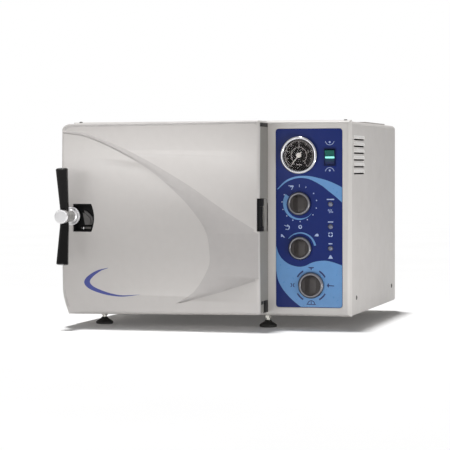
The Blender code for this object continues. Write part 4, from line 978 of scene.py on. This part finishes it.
def make_cabinet():
    refined("base_pan", 0.0003, MATERIALS["cabinet_paint"])
    refined("front_frame", 0.0005, FRAME_PAINT, segments=3)
    hood = refined("hood", 0.0004)
    hood.data.materials.append(LOUVRE_HIGHLIGHT_PAINT)
    # The louvre scoops' faces take the lighter paint: painted highlight.
    for face in hood.data.polygons:
        face.material_index = int(abs(face.center.x) > FRAME_HIGH.x - SHEET_INSET + 0.0001)
    refined("rear_panel", 0.0002, segments=1)
    refined("lid_hinge", 0.0002)
    refined("reservoir_lid", 0.0005)
    sheet_x = FRAME_HIGH.x - SHEET_INSET
    for index, along in enumerate((FRONT + 0.0595, FRONT + 0.4010)):
        screw(f"side_screw_right_{index}", (sheet_x, along, SIDE_SCREW_Z), RIGHT, 0.0042, DARK_METAL)
        screw(f"side_screw_left_{index}", (-sheet_x, along, SIDE_SCREW_Z), -RIGHT, 0.0042, DARK_METAL)
    for side, across in (("left", -0.2417), ("right", 0.2451)):
        screw(f"top_screw_{side}", (across, FRONT + 0.0070, FRAME_HIGH.z), UP, 0.0030, DARK_METAL)
    rear_low, rear_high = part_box("rear_panel")
    half, top, curve = rear_high.x, HOOD_HIGH.z - SHEET_INSET, 0.0068
    bm = bmesh.new()
    slab(bm, [(-half, rear_high.z - 0.0005)] + arc((curve - half, top - curve), (curve, curve), 180, 90, 6)
         + arc((half - curve, top - curve), (curve, curve), 90, 0, 6) + [(half, rear_high.z - 0.0005)],
         rear_low.y, rear_high.y)
    piece("rear_panel_lip", bm, MATERIALS["cabinet_paint"], "cabinet")
    for index, (across, up) in enumerate(((0.035, 0.04), (0.965, 0.04), (0.035, 0.96), (0.965, 0.96),
                                          (0.5, 0.04), (0.5, 0.96))):
        spot = (rear_low.x + across * (rear_high.x - rear_low.x), rear_high.y,
                rear_low.z + up * (rear_high.z - rear_low.z))
        screw(f"rear_screw_{index}", spot, BACK, 0.0034, MATERIALS["steel"])


def make_feet():
    for name in ("foot_front_left", "foot_front_right", "foot_rear_left", "foot_rear_right"):
        low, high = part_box(name)
        spot = Vector(((low.x + high.x) / 2, (low.y + high.y) / 2, 0))
        radius = (high.x - low.x) / 2
        rubber = [(0, 0), (radius - 0.0012, 0), (radius - 0.0003, 0.0006), (radius, 0.0018), (radius, 0.0036),
                  (radius - 0.0005, 0.0046), (radius - 0.0018, 0.0055), (0.0115, 0.0070), (0.0085, 0.0087),
                  (0.0062, 0.0106), (0.0054, 0.0122), (0.0048, 0.0127), (0, 0.0127)]
        turned(name + "_rubber", rubber, spot, UP, 56, MATERIALS["rubber"], "cabinet", [name])
        bm = bmesh.new()
        turn(bm, [(0, 0.0125), (0.0038, 0.0125), (0.0038, 0.0158), (0, 0.0158)], spot, UP, 40)
        turn(bm, [(0, 0.0156), (0.0054, 0.0156), (0.0059, 0.0161), (0.0059, 0.0206), (0.0054, high.z), (0, high.z)],
             spot, UP, 6)
        piece(name + "_nut", bm, MATERIALS["steel"], "cabinet")


def finish_other_nodes():
    """Every CAD node that nothing has replaced keeps its shape, with its edges eased where they show."""
    eased = {"power_inlet": 0.0004, "reset_button": 0.0003, "safety_valve": 0.0003, "door_centre_bolt": 0.0004,
             "drain_lever": 0.0004, "drain_valve": 0.0004, "chamber_flange": 0.0005}
    for name, node in sorted(frame["nodes"].items()):
        if not node.hide_render:
            refined(name, eased.get(name, 0.0))


# ---- Setting ----
def make_setting():
    bm = bmesh.new()
    bmesh.ops.create_grid(bm, x_segments=8, y_segments=8, size=FLOOR_REACH)
    mesh = bpy.data.meshes.new("floor")
    bm.to_mesh(mesh)
    bm.free()
    floor_look = Look("Pale_floor", (0.92, 0.92, 0.92), 0.95, Specular_IOR_Level=0.0,
                      Emission_Color=(1, 1, 1, 1), Emission_Strength=FLOOR_GLOW)
    mesh.materials.append(floor_look.mottle(0.4, 0.01).uneven(0.05, 0.03).material)
    placed("floor", mesh)

    world = bpy.data.worlds.new("studio")
    bpy.context.scene.world = world
    world.use_nodes = True
    nodes, links = world.node_tree.nodes, world.node_tree.links
    paths = nodes.new("ShaderNodeLightPath")
    seen, mirrored = nodes.new("ShaderNodeBackground"), nodes.new("ShaderNodeBackground")
    adjust(seen, Color=(1, 1, 1, 1), Strength=1.0)
    adjust(mirrored, Color=(1, 1, 1, 1), Strength=MIRRORED)
    adjust(nodes["Background"], Color=(1.0, 0.99, 0.98, 1), Strength=AMBIENT)
    shown = nodes["Background"].outputs[0]
    for ray, background in (("Is Glossy Ray", mirrored), ("Is Camera Ray", seen)):
        mix = nodes.new("ShaderNodeMixShader")
        for source, socket in zip((paths.outputs[ray], shown, background.outputs[0]), mix.inputs):
            links.new(source, socket)
        shown = mix.outputs[0]
    links.new(shown, nodes["World Output"].inputs["Surface"])

    sun_data = bpy.data.lights.new("overhead", "SUN")
    sun_data.energy = SUN_POWER
    sun_data.angle = math.radians(SUN_SPREAD)
    placed("overhead", sun_data).rotation_euler = Vector(SUN_AIM).to_track_quat("-Z", "Y").to_euler()
    for name, spot, aim, size, power in SOFTBOXES:
        data = bpy.data.lights.new(name, "AREA")
        data.shape = "RECTANGLE"
        data.size, data.size_y = size
        data.energy = power
        lamp = placed(name, data)
        lamp.location = spot
        lamp.rotation_euler = (Vector(aim) - Vector(spot)).to_track_quat("-Z", "Y").to_euler()

    camera_data = bpy.data.cameras.new("camera")
    camera_data.lens = LENS
    camera_data.sensor_width = 36.0
    camera = placed("camera", camera_data)
    camera.location = CAMERA_SPOT
    camera.rotation_euler = [math.radians(a) for a in CAMERA_TURN]
    bpy.context.scene.camera = camera
    view = bpy.context.scene.view_settings
    view.view_transform = "Standard"
    view.look = "None"
    view.exposure = 0.0


make_cabinet()
make_feet()
make_cover()
make_hinge()
make_decal()
make_latch()
make_recess()
make_overlay()
make_gauge()
make_switch()
make_knobs()
make_lamps()
finish_other_nodes()
make_setting()
